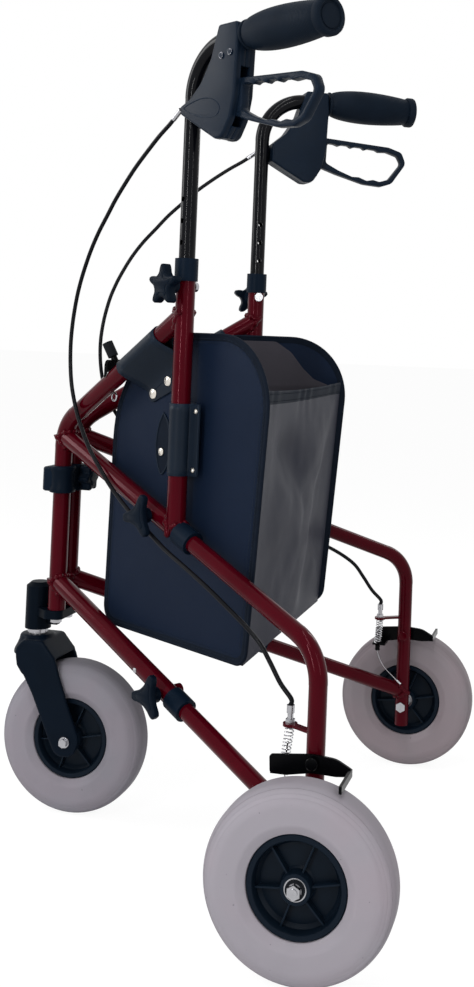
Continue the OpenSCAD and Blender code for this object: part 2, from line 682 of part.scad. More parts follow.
module housing_body(from_y, to_y) {
  difference() {
    translate([0, to_y, 0]) rotate([90, 0, 0]) linear_extrude(to_y - from_y)
      polygon(rounded(housing_outline, 4));
    if (to_y > -inner_r)
      translate([0, max(from_y, -inner_r - 0.7), 0]) rotate([90, 0, 0]) translate([0, 0, -housing_w])
        linear_extrude(housing_w) square([nose_s, clamp_top + cut_over]);
    handle_solid(inner_r + weld_gap);
    translate([0, lever_y + lever_w / 2 + clear_gap, 0]) rotate([90, 0, 0])
      linear_extrude(lever_w + 2 * clear_gap) polygon(rounded(pocket_outline));
    outboard_at(lever_pivot[0], lever_pivot[1])
      translate([0, 0, -housing_w]) cylinder(r = screw_r + run_gap, h = 2 * housing_w);
    translate(ferrule_at) rotate([0, atan2(ferrule_way[0], ferrule_way[2]), 0])
      translate([0, 0, -4]) cylinder(r = ferrule_r + weld_gap, h = ferrule_length);
  }
}
ferrule_r = 3;
module brake_housing(side) {
  color(plastic_black) on_side(side) in_side_frame() {
    housing_body(-housing_out, housing_split);
    housing_body(housing_split, housing_in);
  }
}
screw_places = [[304, grip_z - 22.5], [319, grip_z - 20.5]];
module housing_fittings(side) {
  color(zinc) on_side(side) in_side_frame() {
    outboard_at(lever_pivot[0], lever_pivot[1])
      translate([0, 0, -housing_in + 1]) cylinder(r = screw_r, h = housing_in + housing_out - 2);
    for (place = screw_places)
      outboard_at(place[0], place[1]) translate([0, 0, housing_out + weld_gap]) cylinder(r = 3.2, h = 1.6);
    difference() {
      translate(ferrule_at) rotate([0, atan2(ferrule_way[0], ferrule_way[2]), 0])
        translate([0, 0, -3.5]) cylinder(r = ferrule_r, h = 3.5 + ferrule_length);
      translate(ferrule_at) rotate([0, atan2(ferrule_way[0], ferrule_way[2]), 0])
        translate([0, 0, ferrule_length - weld_gap]) cylinder(r = ferrule_r + 1, h = 10);
    }
  }
}

// Loop lever with finger waves
lever_hub_r = 12;
lever_outer = from_grip([
  [314, -45.5, 6], [424, -51, 10], [447, -61.5, 8], [450, -77.5, 10], [437, -109.5, 10],
  [424, -114.5, 8], [372, -114.5, 40], [342, -105.5, 30], [312, -92.5, 8]]);
lever_inner = from_grip([
  [331, -56.5, 4], [420, -60.5, 3], [434, -68.5, 5], [437, -77.5, 6], [427, -101.5, 6],
  [419, -105, 6], [374, -104.5, 30], [346, -96.5, 20], [330, -86.5, 5]]);
wave_places = [350, 372, 394];
wave_z = grip_z - 67.5;
module brake_lever(side) {
  color(plastic_black) on_side(side) in_side_frame() translate([0, lever_y, 0]) difference() {
    union() {
      translate([0, lever_w / 2, 0]) rotate([90, 0, 0]) linear_extrude(lever_w)
        difference() {
          polygon(rounded(lever_outer, 5));
          polygon(rounded(lever_inner, 5));
        }
      outboard_at(lever_pivot[0], lever_pivot[1])
        translate([0, 0, -lever_w / 2]) cylinder(r = lever_hub_r, h = lever_w);
    }
    for (s = wave_places)
      outboard_at(s, wave_z) translate([0, 0, -lever_w]) cylinder(r = 12.5, h = 2 * lever_w);
    outboard_at(lever_pivot[0], lever_pivot[1])
      translate([0, 0, -lever_w]) cylinder(r = screw_r + run_gap, h = 2 * lever_w);
  }
}

// Knobs: a lobed head on a hub and a screw, Z outboard from the tube's axis
knob_back = 13;
knob_stand = 3;
star_t = 12;
lobe_t = 8;
knob_hub_r = 9;
module knob_head(lobes, r, notch_r, notch_at, knob_t) {
  intersection() {
    difference() {
      cylinder(r = r, h = knob_t);
      for (i = [1:lobes])
        rotate([0, 0, (i + 0.5) * 360 / lobes]) translate([notch_at, 0, -cut_over])
          cylinder(r = notch_r, h = knob_t + 2 * cut_over);
    }
    rotate_extrude()
      polygon(rounded([[0, 0, 0], [r, 0, knob_t / 4], [r, knob_t - 2, knob_t / 3], [0, knob_t, 0]]));
  }
}
module knob_on(place, tip) {
  outboard_at(place[0], place[1]) {
    translate([0, 0, tube_r + knob_back]) children();
    translate([0, 0, tube_r + knob_stand]) cylinder(r = knob_hub_r, h = knob_back + 1 - knob_stand);
    translate([0, 0, tip]) cylinder(r = screw_r, h = tube_r + knob_back - tip);
  }
}
module height_knob(side) {
  color(plastic_black) on_side(side) in_side_frame()
    knob_on([post_s, knob_z], inner_r + 0.3)
      rotate([0, 0, 18]) knob_head(5, star_r, star_r * 0.36, star_r * 1.14, star_t);
}
module tri_knob(side, place) {
  color(plastic_black) on_side(side) in_side_frame()
    knob_on(place, -inner_bore_r + 1)
      rotate([0, 0, 70]) knob_head(3, lobe_r, lobe_r * 0.92, lobe_r * 1.27, lobe_t);
}

// Wheel pieces, turned about X with the wheel's middle at the origin
module tyre_body() {
  half = tyre_w / 2;
  profile = rounded([
    [hub_r - 1, -half + 5, 2], [hub_r + 8, -half, 8], [wheel_r - 14, -half, 18], [wheel_r, -half + 10, 12],
    [wheel_r, half - 10, 12], [wheel_r - 14, half, 18], [hub_r + 8, half, 8], [hub_r - 1, half - 5, 2]]);
  axle_wise() rotate_extrude() difference() {
    polygon(profile);
    for (x = [-7, 0, 7]) translate([wheel_r - 1, x - 1]) square([3, 2]);
  }
}
rim_w = tyre_w - 11;
boss_r = 15;
bearing_r = 11;
bearing_w = 7;
rib_count = 6;
module hub_body() {
  axle_wise() difference() {
    union() {
      translate([0, 0, -rim_w / 2]) ring(hub_r - 1 - weld_gap, hub_r - 8, rim_w);
      translate([0, 0, -3]) cylinder(r = hub_r - 6, h = 6);
      translate([0, 0, -hub_half_w]) cylinder(r = boss_r, h = 2 * hub_half_w);
      for (i = [1:rib_count]) rotate([0, 0, i * 360 / rib_count])
        translate([boss_r - 2, -1.5, -rim_w / 2 + 3]) cube([hub_r - 8 - boss_r, 3, rim_w - 6]);
    }
    translate([0, 0, -hub_half_w - cut_over]) cylinder(r = axle_r + 2, h = 2 * hub_half_w + 2 * cut_over);
    for (end = [-1, 1]) translate([0, 0, end * (hub_half_w - bearing_w / 2 + cut_over / 2)])
      cylinder(r = bearing_r + weld_gap, h = bearing_w + cut_over, center = true);
  }
}
module bearing_pair() {
  axle_wise() for (end = [-1, 1])
    translate([0, 0, end * (hub_half_w - bearing_w / 2) - (bearing_w - weld_gap) / 2])
    ring(bearing_r, axle_r + run_gap, bearing_w - weld_gap);
}
module at_rear_wheel() {
  at_leg() translate([wheel_offset, 0, wheel_r]) children();
}
module at_front_wheel() {
  at_head() translate([0, front_wheel_y, wheel_r]) children();
}
module tyre(side) {
  color(tyre_grey) on_side(side) at_rear_wheel() tyre_body();
}
module hub(side) {
  color(plastic_black) on_side(side) at_rear_wheel() hub_body();
}
module bearings(side) {
  color(zinc) on_side(side) at_rear_wheel() bearing_pair();
}
module front_tyre() {
  color(tyre_grey) at_front_wheel() tyre_body();
}
module front_hub() {
  color(plastic_black) at_front_wheel() hub_body();
}
module front_bearings() {
  color(zinc) at_front_wheel() bearing_pair();
}

// Hinge head: block round the columns, housing of the swivel stem and the bolts it all turns on
block_z = [409, 444];
block_r = tube_r + 4.5;
wing_z = [244, column_base_z - clear_gap];
module columns_do() {
  for (x = [-column_x, column_x]) translate([x, 0, 0]) children();
}
star_reach = 15;
module hinge_block() {
  scallop_r = 4;
  color(plastic_black) at_head() translate([0, 0, block_z[0]]) difference() {
    h = block_z[1] - block_z[0];
    union() {
      columns_do() cylinder(r = block_r, h = h);
      translate([-column_x, -block_r, 0]) cube([2 * column_x, 2 * block_r, h]);
      translate([-column_x, -block_r - 9, 6]) cube([2 * column_x, 12, h - 12]);
      translate([-column_x, block_r - 2, h / 2]) rotate([-90, 0, 0]) {
        cylinder(r = 14, h = star_reach);
        for (turn = [0:60:300])
          rotate([0, 0, turn]) translate([12.8, 0, 0]) cylinder(r = 4.6, h = star_reach);
      }
    }
    columns_do() translate([0, 0, -cut_over]) cylinder(r = tube_r + run_gap, h = h + 2 * cut_over);
    for (turn = [-60, -20, 20, 60])
      translate([-column_x, 0, 0]) rotate([0, 0, 180 + turn]) translate([block_r + 1.6, 0, -cut_over])
        cylinder(r = scallop_r, h = h + 2 * cut_over);
  }
}
housing_z = [226, 285];
module caster_housing() {
  color(plastic_black) at_head() difference() {
    union() {
      translate([0, -caster_lead, housing_z[0]])
        cylinder(r = stem_housing_d / 2, h = housing_z[1] - housing_z[0] - 5);
      translate([0, -caster_lead, housing_z[1] - 5])
        cylinder(r1 = stem_housing_d / 2, r2 = stem_housing_d / 2 - 6, h = 5);
      translate([0, 0, wing_z[0]]) linear_extrude(wing_z[1] - wing_z[0])
        polygon(rounded([[-column_x - 13, 11, 9], [-column_x - 13, -10, 10], [-10, -caster_lead, 0],
                         [10, -caster_lead, 0], [column_x + 13, -10, 10], [column_x + 13, 11, 9]]));
      translate([-5, -caster_lead, housing_z[0] + 6])
        cube([10, caster_lead - 4, wing_z[0] - housing_z[0] - 5]);
    }
    translate([0, -caster_lead, housing_z[0] - cut_over]) cylinder(r = stem_r + run_gap, h = stem_reach + 2);
    columns_do() translate([0, 0, wing_z[0] - cut_over]) cylinder(r = hinge_bolt_r + run_gap, h = 20);
  }
}
module hinge_bolts() {
  color(zinc) at_head() columns_do() translate([0, 0, wing_z[0]]) {
    translate([0, 0, -5.5]) hex_head(7, 4);
    translate([0, 0, -1.5]) cylinder(r = 8.5, h = 1.5 - weld_gap);
    translate([0, 0, -2]) cylinder(r = hinge_bolt_r, h = 2 + column_base_z - wing_z[0] + hinge_bolt_reach);
  }
}
stem_reach = 42;
stem_sunk = 18;
module caster_stem() {
  washer_top = housing_z[0] - clear_gap;
  color(zinc) at_head() translate([0, -caster_lead, 0]) {
    translate([0, 0, fork_top_z - stem_sunk])
      cylinder(r = stem_r, h = stem_sunk + housing_z[0] - fork_top_z + stem_reach - 4);
    translate([0, 0, fork_top_z + weld_gap])
      cylinder(r = stem_r + 5, h = washer_top - fork_top_z - weld_gap);
  }
}

// Fork: side outline and front outline cut each other, and the wheel's room is cut out
fork_half_w = tyre_w / 2 + 2.5 + fork_wall;
crown_r = 21;
module caster_fork() {
  axle_y = front_wheel_y;
  stem_y = -caster_lead;
  side_outline = [[stem_y - crown_r, fork_top_z, 5], [stem_y - 16, 203, 16], [stem_y - 7, 178, 30],
                  [stem_y + 10, 152, 40], [axle_y - 21.5, wheel_r - 3, 18], [axle_y - 12, wheel_r - 19.5, 13],
                  [axle_y + 10, wheel_r - 19.5, 13], [axle_y + 18.5, wheel_r + 3, 16], [axle_y + 0.5, 140, 40],
                  [axle_y - 13, 177, 12], [axle_y - 6, 194, 6], [axle_y + 10, 197.5, 1], [axle_y + 10, 200, 1],
                  [axle_y - 6, 210, 14], [stem_y + crown_r, fork_top_z, 5]];
  front_outline = [[-fork_half_w, 60, 0], [fork_half_w, 60, 0], [fork_half_w, 196, 12],
                   [crown_r, fork_top_z, 3], [-crown_r, fork_top_z, 3], [-fork_half_w, 196, 12]];
  color(plastic_black) at_head() difference() {
    intersection() {
      translate([-fork_half_w, 0, 0]) rotate([90, 0, 90]) linear_extrude(2 * fork_half_w)
        polygon(rounded(side_outline));
      translate([0, 200, 0]) rotate([90, 0, 0]) linear_extrude(400) polygon(rounded(front_outline));
    }
    translate([0, axle_y, wheel_r]) axle_wise()
      cylinder(r = wheel_r + 4, h = 2 * (fork_half_w - fork_wall), center = true);
    translate([0, axle_y, wheel_r]) axle_wise() cylinder(r = axle_r + run_gap, h = 200, center = true);
    translate([0, stem_y, fork_top_z - stem_sunk - 1]) cylinder(r = stem_r + weld_gap, h = stem_sunk + 2);
  }
}
module front_axle() {
  color(zinc) at_front_wheel() axle_wise() {
    translate([0, 0, -fork_half_w - 6]) cylinder(r = axle_r, h = 2 * fork_half_w + 12);
    for (end = [-1, 1]) {
      translate([0, 0, end * (fork_half_w + 0.8 + weld_gap)])
        cylinder(r = axle_r * 1.7, h = 1.6, center = true);
      translate([0, 0, end * (fork_half_w + 4)]) cylinder(r = axle_r * 1.4, h = 5, center = true, $fn = 6);
      translate([0, 0, end * (hub_half_w + clear_gap / 2 + (fork_half_w - fork_wall - hub_half_w) / 2)])
        cylinder(r = axle_r + 3, h = fork_half_w - fork_wall - hub_half_w - clear_gap - weld_gap, center = true);
    }
  }
}

// Locking bar: pivots on the right diagonal and drops over the left one
bar_h = 18;
saddle_gap = 1.2;
cap_r = 6.5;
cap_length = 26;
cap_lean = 28;
cap_x = bar_tube_x - 17;
cap_z = bar_pivot_z + bar_h / 2 - 4;
module bar_outline() {
  end_x = bar_tube_x + 14;
  translate([0, bar_y + bar_t / 2, 0]) rotate([90, 0, 0]) linear_extrude(bar_t)
    polygon(rounded([
      [bar_pivot_x - 9, bar_pivot_z - 9, 8.5], [end_x - 32, bar_pivot_z - 9, 8], [end_x - 26, bar_pivot_z - 13, 3],
      [end_x, bar_pivot_z - 13, 3], [end_x, bar_pivot_z + 9, 8], [bar_pivot_x - 9, bar_pivot_z + 9, 8.5]]));
}
module locking_bar() {
  color(tube_black) difference() {
    at_head() union() {
      bar_outline();
      translate([cap_x, bar_y, cap_z]) rotate([cap_lean, 0, 0]) cylinder(r = 4, h = cap_length - 2);
    }
    on_side("left") in_side_frame() front_tube_solid(tube_r + saddle_gap);
    at_head() translate([bar_pivot_x, bar_y - 20, bar_pivot_z]) rotate([-90, 0, 0])
      cylinder(r = bar_bolt_r + run_gap, h = 40);
  }
}
module locking_bar_cap() {
  color(rubber_black) at_head() translate([cap_x, bar_y, cap_z]) rotate([cap_lean, 0, 0]) difference() {
    translate([0, 0, 9]) cylinder(r = cap_r, h = cap_length - 7);
    cylinder(r = 4 + weld_gap, h = cap_length - 1.9);
  }
}

hinge_block();
hinge_bolts();
caster_housing();
caster_stem();
caster_fork();
front_axle();
front_tyre();
front_hub();
front_bearings();
bag_gusset();
locking_bar();
locking_bar_cap();
front_tube("left");  // left_front_tube
front_tube("right");  // right_front_tube
post("left");  // left_post
post("right");  // right_post
upper_tube("left");  // left_upper_tube
upper_tube("right");  // right_upper_tube
lower_tube("left");  // left_lower_tube
lower_tube("right");  // right_lower_tube
rear_leg("left");  // left_rear_leg
rear_leg("right");  // right_rear_leg
lower_arm("left");  // left_lower_arm
lower_arm("right");  // right_lower_arm
tube_fittings("left");  // left_tube_fittings
tube_fittings("right");  // right_tube_fittings
frame_bolts("left");  // left_frame_bolts
frame_bolts("right");  // right_frame_bolts
cable_adjuster("left");  // left_cable_adjuster
cable_adjuster("right");  // right_cable_adjuster
brake_cable("left");  // left_brake_cable
brake_cable("right");  // right_brake_cable
brake_spring("left");  // left_brake_spring
brake_spring("right");  // right_brake_spring
brake_plate("left");  // left_brake_plate
brake_plate("right");  // right_brake_plate
bag_panel("left");  // left_bag_panel
bag_panel("right");  // right_bag_panel
handle_tube("left");  // left_handle_tube
handle_tube("right");  // right_handle_tube
grip("left");  // left_grip
grip("right");  // right_grip
brake_housing("left");  // left_brake_housing
brake_housing("right");  // right_brake_housing
housing_fittings("left");  // left_housing_fittings
housing_fittings("right");  // right_housing_fittings
brake_lever("left");  // left_brake_lever
brake_lever("right");  // right_brake_lever
height_knob("left");  // left_height_knob
height_knob("right");  // right_height_knob
tri_knob("left", upper_knob_at);  // left_upper_knob
tri_knob("right", upper_knob_at);  // right_upper_knob
tri_knob("left", lower_knob_at);  // left_lower_knob
tri_knob("right", lower_knob_at);  // right_lower_knob
tyre("left");  // left_tyre
tyre("right");  // right_tyre
hub("left");  // left_hub
hub("right");  // right_hub
bearings("left");  // left_bearings
bearings("right");  // right_bearings
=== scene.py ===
"""Looks of a three wheel rollator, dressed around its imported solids.

Sizes inside the classes are millimetres. A side frame has its own axes: s runs backwards from the
front column, y points inboard and z is up. Every mesh ends in metres in the object's frame.
"""

import logging
import math
from dataclasses import dataclass, field
from enum import Enum
from typing import Any, Callable, Iterable, Mapping, Sequence

import bmesh
import bpy
from mathutils import Matrix, Vector, noise
from mathutils.geometry import tessellate_polygon


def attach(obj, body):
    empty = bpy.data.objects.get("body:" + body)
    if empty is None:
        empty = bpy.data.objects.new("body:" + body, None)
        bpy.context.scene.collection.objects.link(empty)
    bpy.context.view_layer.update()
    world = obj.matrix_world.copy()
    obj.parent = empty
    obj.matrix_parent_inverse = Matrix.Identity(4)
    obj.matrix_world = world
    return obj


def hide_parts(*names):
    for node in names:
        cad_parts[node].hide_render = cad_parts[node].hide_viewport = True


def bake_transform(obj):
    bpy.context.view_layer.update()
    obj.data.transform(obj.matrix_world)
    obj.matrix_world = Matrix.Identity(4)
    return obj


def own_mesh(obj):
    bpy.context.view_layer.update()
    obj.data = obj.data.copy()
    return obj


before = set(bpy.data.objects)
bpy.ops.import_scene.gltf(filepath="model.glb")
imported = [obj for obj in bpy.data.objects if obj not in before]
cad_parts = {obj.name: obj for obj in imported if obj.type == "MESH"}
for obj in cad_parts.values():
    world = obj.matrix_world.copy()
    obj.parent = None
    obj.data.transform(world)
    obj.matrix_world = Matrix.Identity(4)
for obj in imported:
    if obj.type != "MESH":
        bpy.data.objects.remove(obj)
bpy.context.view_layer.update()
LOG = logging.getLogger("rollator")
MM = 0.001
SHARP = 38.0
THREAD_R = 0.28

Rgb = tuple[float, float, float]
Flat = tuple[float, float]
Place = tuple[float, float, float]
Corner = tuple[float, float, float]
ToSpace = Callable[[float, float, float], Vector]


class Side(Enum):
    """The user's left and right."""

    LEFT = "left"
    RIGHT = "right"

    @property
    def sign(self) -> float:
        """+1 on the left, where x is positive, and -1 on the right."""
        return 1.0 if self is Side.LEFT else -1.0

    def name_of(self, piece: str) -> str:
        """The name of a piece, body or joint on this side."""
        return f"{self.value}_{piece}"

    def mirrored(self, left: Matrix) -> Matrix:
        """The placement on this side that matches one on the left."""
        return left if self is Side.LEFT else Matrix.Diagonal((-1.0, 1.0, 1.0, 1.0)) @ left


# Sizes shared by several sub-assemblies


@dataclass(frozen=True)
class Layout:
    """Places and sizes that the pieces share with the solids."""

    splay: float = 31.6
    column_x: float = 15.6
    column_y: float = -215.535
    column_base_z: float = 255.0
    apex_z: float = 489.5
    apex_bend_r: float = 50.0
    diagonal_angle: float = 31.4
    post_s: float = 237.0
    upper_z: float = 476.8
    lower_z: float = 291.5
    side_angle: float = 20.4
    leg_s: float = 475.0
    tube_r: float = 11.1
    inner_r: float = 9.52
    wheel_r: float = 95.0
    wheel_offset: float = 44.0
    front_wheel_y: float = 26.5
    knob_z: float = 666.0
    grip_z: float = 943.5
    panel_y: float = 19.1
    panel_t: float = 3.0
    cloth_gap: float = 0.5
    upper_knob_s: float = 203.0
    lower_knob_s: float = 234.0

    def head(self) -> Matrix:
        """Millimetres at the front columns to metres in the object's frame."""
        return Matrix.Scale(MM, 4) @ Matrix.Translation((0.0, self.column_y, 0.0))

    def side_frame(self, side: Side) -> Matrix:
        """The axes (s, y, z) of a side frame.

        Args:
            side: The side frame.
        Returns:
            The matrix from its millimetres to the object's metres.
        """
        turn = Matrix.Rotation(math.radians(90.0 - self.splay), 4, "Z")
        return side.mirrored(self.head() @ Matrix.Translation((self.column_x, 0.0, 0.0)) @ turn)

    def behind(self, s: float, z: float = 0.0) -> Vector:
        """The point at s and z of the left side frame, at the columns' axes."""
        angle = math.radians(self.splay)
        return Vector((self.column_x + s * math.sin(angle), s * math.cos(angle), z))

    def leg(self, side: Side) -> Matrix:
        """The axes at the foot of a rear leg, with x outboard."""
        return side.mirrored(self.head() @ Matrix.Translation(self.behind(self.leg_s)))

    def backwards(self, side: Side) -> Vector:
        """The direction of s of a side frame in the object's frame."""
        angle = math.radians(self.splay)
        return Vector((side.sign * math.sin(angle), math.cos(angle), 0.0))

    def diagonal(self, s: float) -> float:
        """Height of the diagonal tube's axis at s."""
        return self.apex_z + s * math.tan(math.radians(self.diagonal_angle))

    def upper(self, s: float) -> float:
        """Height of the upper side tube's axis at s."""
        return self.upper_z - s * math.tan(math.radians(self.side_angle))

    def lower(self, s: float) -> float:
        """Height of the lower side tube's axis at s."""
        return self.lower_z - s * math.tan(math.radians(self.side_angle))

    def inside_half_width(self, y: float) -> float:
        """Half the room between the bag's side panels at y behind the columns."""
        angle = math.radians(self.splay)
        inner = self.panel_y + self.panel_t + self.cloth_gap
        s = (y - inner * math.sin(angle)) / math.cos(angle)
        return self.column_x + s * math.sin(angle) - inner * math.cos(angle)


LAYOUT = Layout()


# Shader graphs


class Wire:
    """A node's output that takes part in Python arithmetic."""

    def __init__(self, graph: "Graph", socket: bpy.types.NodeSocket) -> None:
        """Keep the graph and the output socket."""
        self.graph = graph
        self.socket = socket

    def math(self, operation: str, *values: Any) -> "Wire":
        """One Math node on these values."""
        return self.graph.node("ShaderNodeMath", {"operation": operation}, dict(enumerate(values)))

    def __add__(self, other: Any) -> "Wire":
        """Sum."""
        return self.math("ADD", self, other)

    __radd__ = __add__

    def __sub__(self, other: Any) -> "Wire":
        """Difference."""
        return self.math("SUBTRACT", self, other)

    def __rsub__(self, other: Any) -> "Wire":
        """Difference from a number."""
        return self.math("SUBTRACT", other, self)

    def __mul__(self, other: Any) -> "Wire":
        """Product."""
        return self.math("MULTIPLY", self, other)

    __rmul__ = __mul__

    def sine(self) -> "Wire":
        """Sine of an angle in radians."""
        return self.math("SINE", self)

    def root(self) -> "Wire":
        """Square root."""
        return self.math("SQRT", self)

    def over(self, low: float, high: float) -> "Wire":
        """0 below low, 1 above high and smooth between."""
        return self.graph.node(
            "ShaderNodeMapRange",
            {"interpolation_type": "SMOOTHSTEP", "clamp": True},
            {"Value": self, "From Min": low, "From Max": high},
        )


class Graph:
    """The node tree of one material or of the world."""

    def __init__(self, owner: bpy.types.Material | bpy.types.World) -> None:
        """Start with an empty tree."""
        owner.use_nodes = True
        self.tree = owner.node_tree
        self.tree.nodes.clear()

    def node(
        self,
        kind: str,
        settings: Mapping[str, Any] | None = None,
        sockets: Mapping[Any, Any] | None = None,
        out: int | str | None = 0,
    ) -> Wire | None:
        """Add any node.

        Args:
            kind: The node's type.
            settings: Its own properties, which are set first.
            sockets: Values or wires for its inputs, by name or number.
            out: The output to use, or None at the end of a tree.
        Returns:
            That output.
        """
        made = self.tree.nodes.new(kind)
        for key, value in (settings or {}).items():
            setattr(made, key, value)
        for key, value in (sockets or {}).items():
            if isinstance(value, Wire):
                self.tree.links.new(value.socket, made.inputs[key])
            else:
                made.inputs[key].default_value = value
        return None if out is None else Wire(self, made.outputs[out])

    def position(self) -> Wire:
        """The point on the surface in the object's frame, in metres."""
        return self.node("ShaderNodeTexCoord", out="Object")

    def along(self, direction: Vector, origin: Vector = Vector((0.0, 0.0, 0.0))) -> Wire:
        """Distance of the surface point from origin along a direction, in millimetres."""
        offset = self.node(
            "ShaderNodeVectorMath", {"operation": "SUBTRACT"}, {0: self.position(), 1: origin}
        )
        dot = self.node(
            "ShaderNodeVectorMath", {"operation": "DOT_PRODUCT"}, {0: offset, 1: direction}, out="Value"
        )
        return dot * 1000.0

    def speckle(self, size: float, detail: float = 2.0, roughness: float = 0.5) -> Wire:
        """Even noise from 0 to 1 with grains of about this size in millimetres."""
        return self.node(
            "ShaderNodeTexNoise",
            {"noise_dimensions": "3D"},
            {"Vector": self.position(), "Scale": 1000.0 / size, "Detail": detail, "Roughness": roughness},
        )

    def mix(self, share: Any, first: Any, second: Any) -> Wire:
        """A colour between two colours."""
        def full(color: Any) -> Any:
            """A colour with its alpha, or a wire as it is."""
            return color if isinstance(color, Wire) else (*color, 1.0)

        return self.node(
            "ShaderNodeMix", {"data_type": "RGBA"}, {0: share, 6: full(first), 7: full(second)}, out=2
        )

    def bump(self, height: Wire, depth: float) -> Wire:
        """A normal from a height of 0 to 1 that stands for depth millimetres."""
        sockets = {"Height": height, "Strength": 1.0, "Distance": depth * MM}
        return self.node("ShaderNodeBump", None, sockets)

    def seen(self) -> Wire:
        """1 for rays that show the backdrop: the camera's, mirrored ones and those through glass."""
        camera, glossy, through = (
            self.node("ShaderNodeLightPath", out=f"Is {kind} Ray")
            for kind in ("Camera", "Glossy", "Transmission")
        )
        return camera.math("MAXIMUM", camera.math("MAXIMUM", camera, glossy), through)

    def finish(self, sockets: Mapping[str, Any]) -> None:
        """Wire the surface shader to the material's output."""
        self.close(self.node("ShaderNodeBsdfPrincipled", None, sockets))

    def close(self, shader: Wire, output: str = "ShaderNodeOutputMaterial") -> None:
        """Put the output node behind a shader."""
        self.node(output, None, {"Surface": shader}, out=None)


@dataclass(frozen=True)
class Finish:
    """A surface finish: its name, main colour and the record's slot it belongs to."""

    name: str
    color: Rgb
    slot: str

    def shade(self, graph: Graph) -> dict[str, Any]:
        """Values and wires for the surface shader's sockets."""
        return {"Base Color": (*self.color, 1.0)}

    def material(self) -> bpy.types.Material:
        """The material of this finish, made once."""
        found = bpy.data.materials.get(self.name)
        if found is None:
            found = bpy.data.materials.new(self.name)
            graph = Graph(found)
            graph.finish(self.shade(graph))
        return found

    def darker(self, share: float) -> Rgb:
        """The main colour times a share."""
        return tuple(channel * share for channel in self.color)

    def between(self, graph: Graph, share: Wire, low: float, high: float) -> Wire:
        """A colour between two shares of the main colour."""
        return graph.mix(share, self.darker(low), self.darker(high))


@dataclass(frozen=True)
class Lacquer(Finish):
    """Gloss paint over metal, with a slight orange peel and cloudy depth."""

    roughness: float = 0.1
    specular: float = 0.13
    sheen: Rgb = (1.0, 1.0, 1.0)
    cloud_size: float = 38.0
    peel_size: float = 2.4
    dust_size: float = 9.0

    def shade(self, graph: Graph) -> dict[str, Any]:
        """Values and wires for the surface shader's sockets."""
        cloud = graph.speckle(self.cloud_size, 3.0)
        peel = graph.speckle(self.peel_size, 1.0)
        dust = graph.speckle(self.dust_size, 4.0, 0.7).over(0.56, 0.78)
        return {
            "Base Color": self.between(graph, cloud, 0.72, 1.28),
            "Roughness": dust * 0.08 + cloud * 0.03 + self.roughness,
            "Specular IOR Level": self.specular,
            "Specular Tint": (*self.sheen, 1.0),
            "Normal": graph.bump(peel, 0.004),
        }


@dataclass(frozen=True)
class MouldedPlastic(Finish):
    """Satin plastic with a fine spark-eroded grain and paler rubbed edges."""

    roughness: float = 0.46
    specular: float = 0.12
    grain: float = 0.55
    depth: float = 0.035
    cloud_size: float = 24.0

    def shade(self, graph: Graph) -> dict[str, Any]:
        """Values and wires for the surface shader's sockets."""
        cloud = graph.speckle(self.cloud_size, 3.0)
        pits = graph.speckle(self.grain, 2.0, 0.6)
        rubbed = graph.node("ShaderNodeNewGeometry", out="Pointiness").over(0.52, 0.6)
        body = self.between(graph, cloud, 0.8, 1.2)
        return {
            "Base Color": graph.mix(rubbed * 0.5, body, self.darker(2.0)),
            "Roughness": pits * 0.12 + cloud * 0.06 + (self.roughness - 0.09),
            "Specular IOR Level": self.specular,
            "Normal": graph.bump(pits, self.depth),
        }


@dataclass(frozen=True)
class GripRubber(Finish):
    """Soft rubber with a pebbled skin and rings moulded round the palm."""

    side: Side = Side.LEFT
    ring_pitch: float = 1.9
    rings_in: Flat = (404.0, 420.0)
    rings_out: Flat = (441.0, 445.0)
    pebble_scale: float = 780.0

    def shade(self, graph: Graph) -> dict[str, Any]:
        """Values and wires for the surface shader's sockets."""
        column = LAYOUT.side_frame(self.side) @ Vector((0.0, 0.0, 0.0))
        s = graph.along(LAYOUT.backwards(self.side), column)
        rings = (s * (math.tau / self.ring_pitch)).sine() * 0.5 + 0.5
        zone = s.over(*self.rings_in) * (1.0 - s.over(*self.rings_out))
        pebble = graph.node(
            "ShaderNodeTexVoronoi",
            {"feature": "SMOOTH_F1"},
            {"Vector": graph.position(), "Scale": self.pebble_scale, "Smoothness": 0.6},
            out="Distance",
        )
        cloud = graph.speckle(30.0, 3.0)
        shine = graph.speckle(60.0, 1.0).over(0.42, 0.7)
        return {
            "Base Color": self.between(graph, cloud, 0.75, 1.3),
            "Roughness": 0.62 - shine * 0.14 + pebble * 0.08,
            "Specular IOR Level": 0.08,
            "Normal": graph.bump(pebble * 0.5 + rings * zone, 0.22),
        }


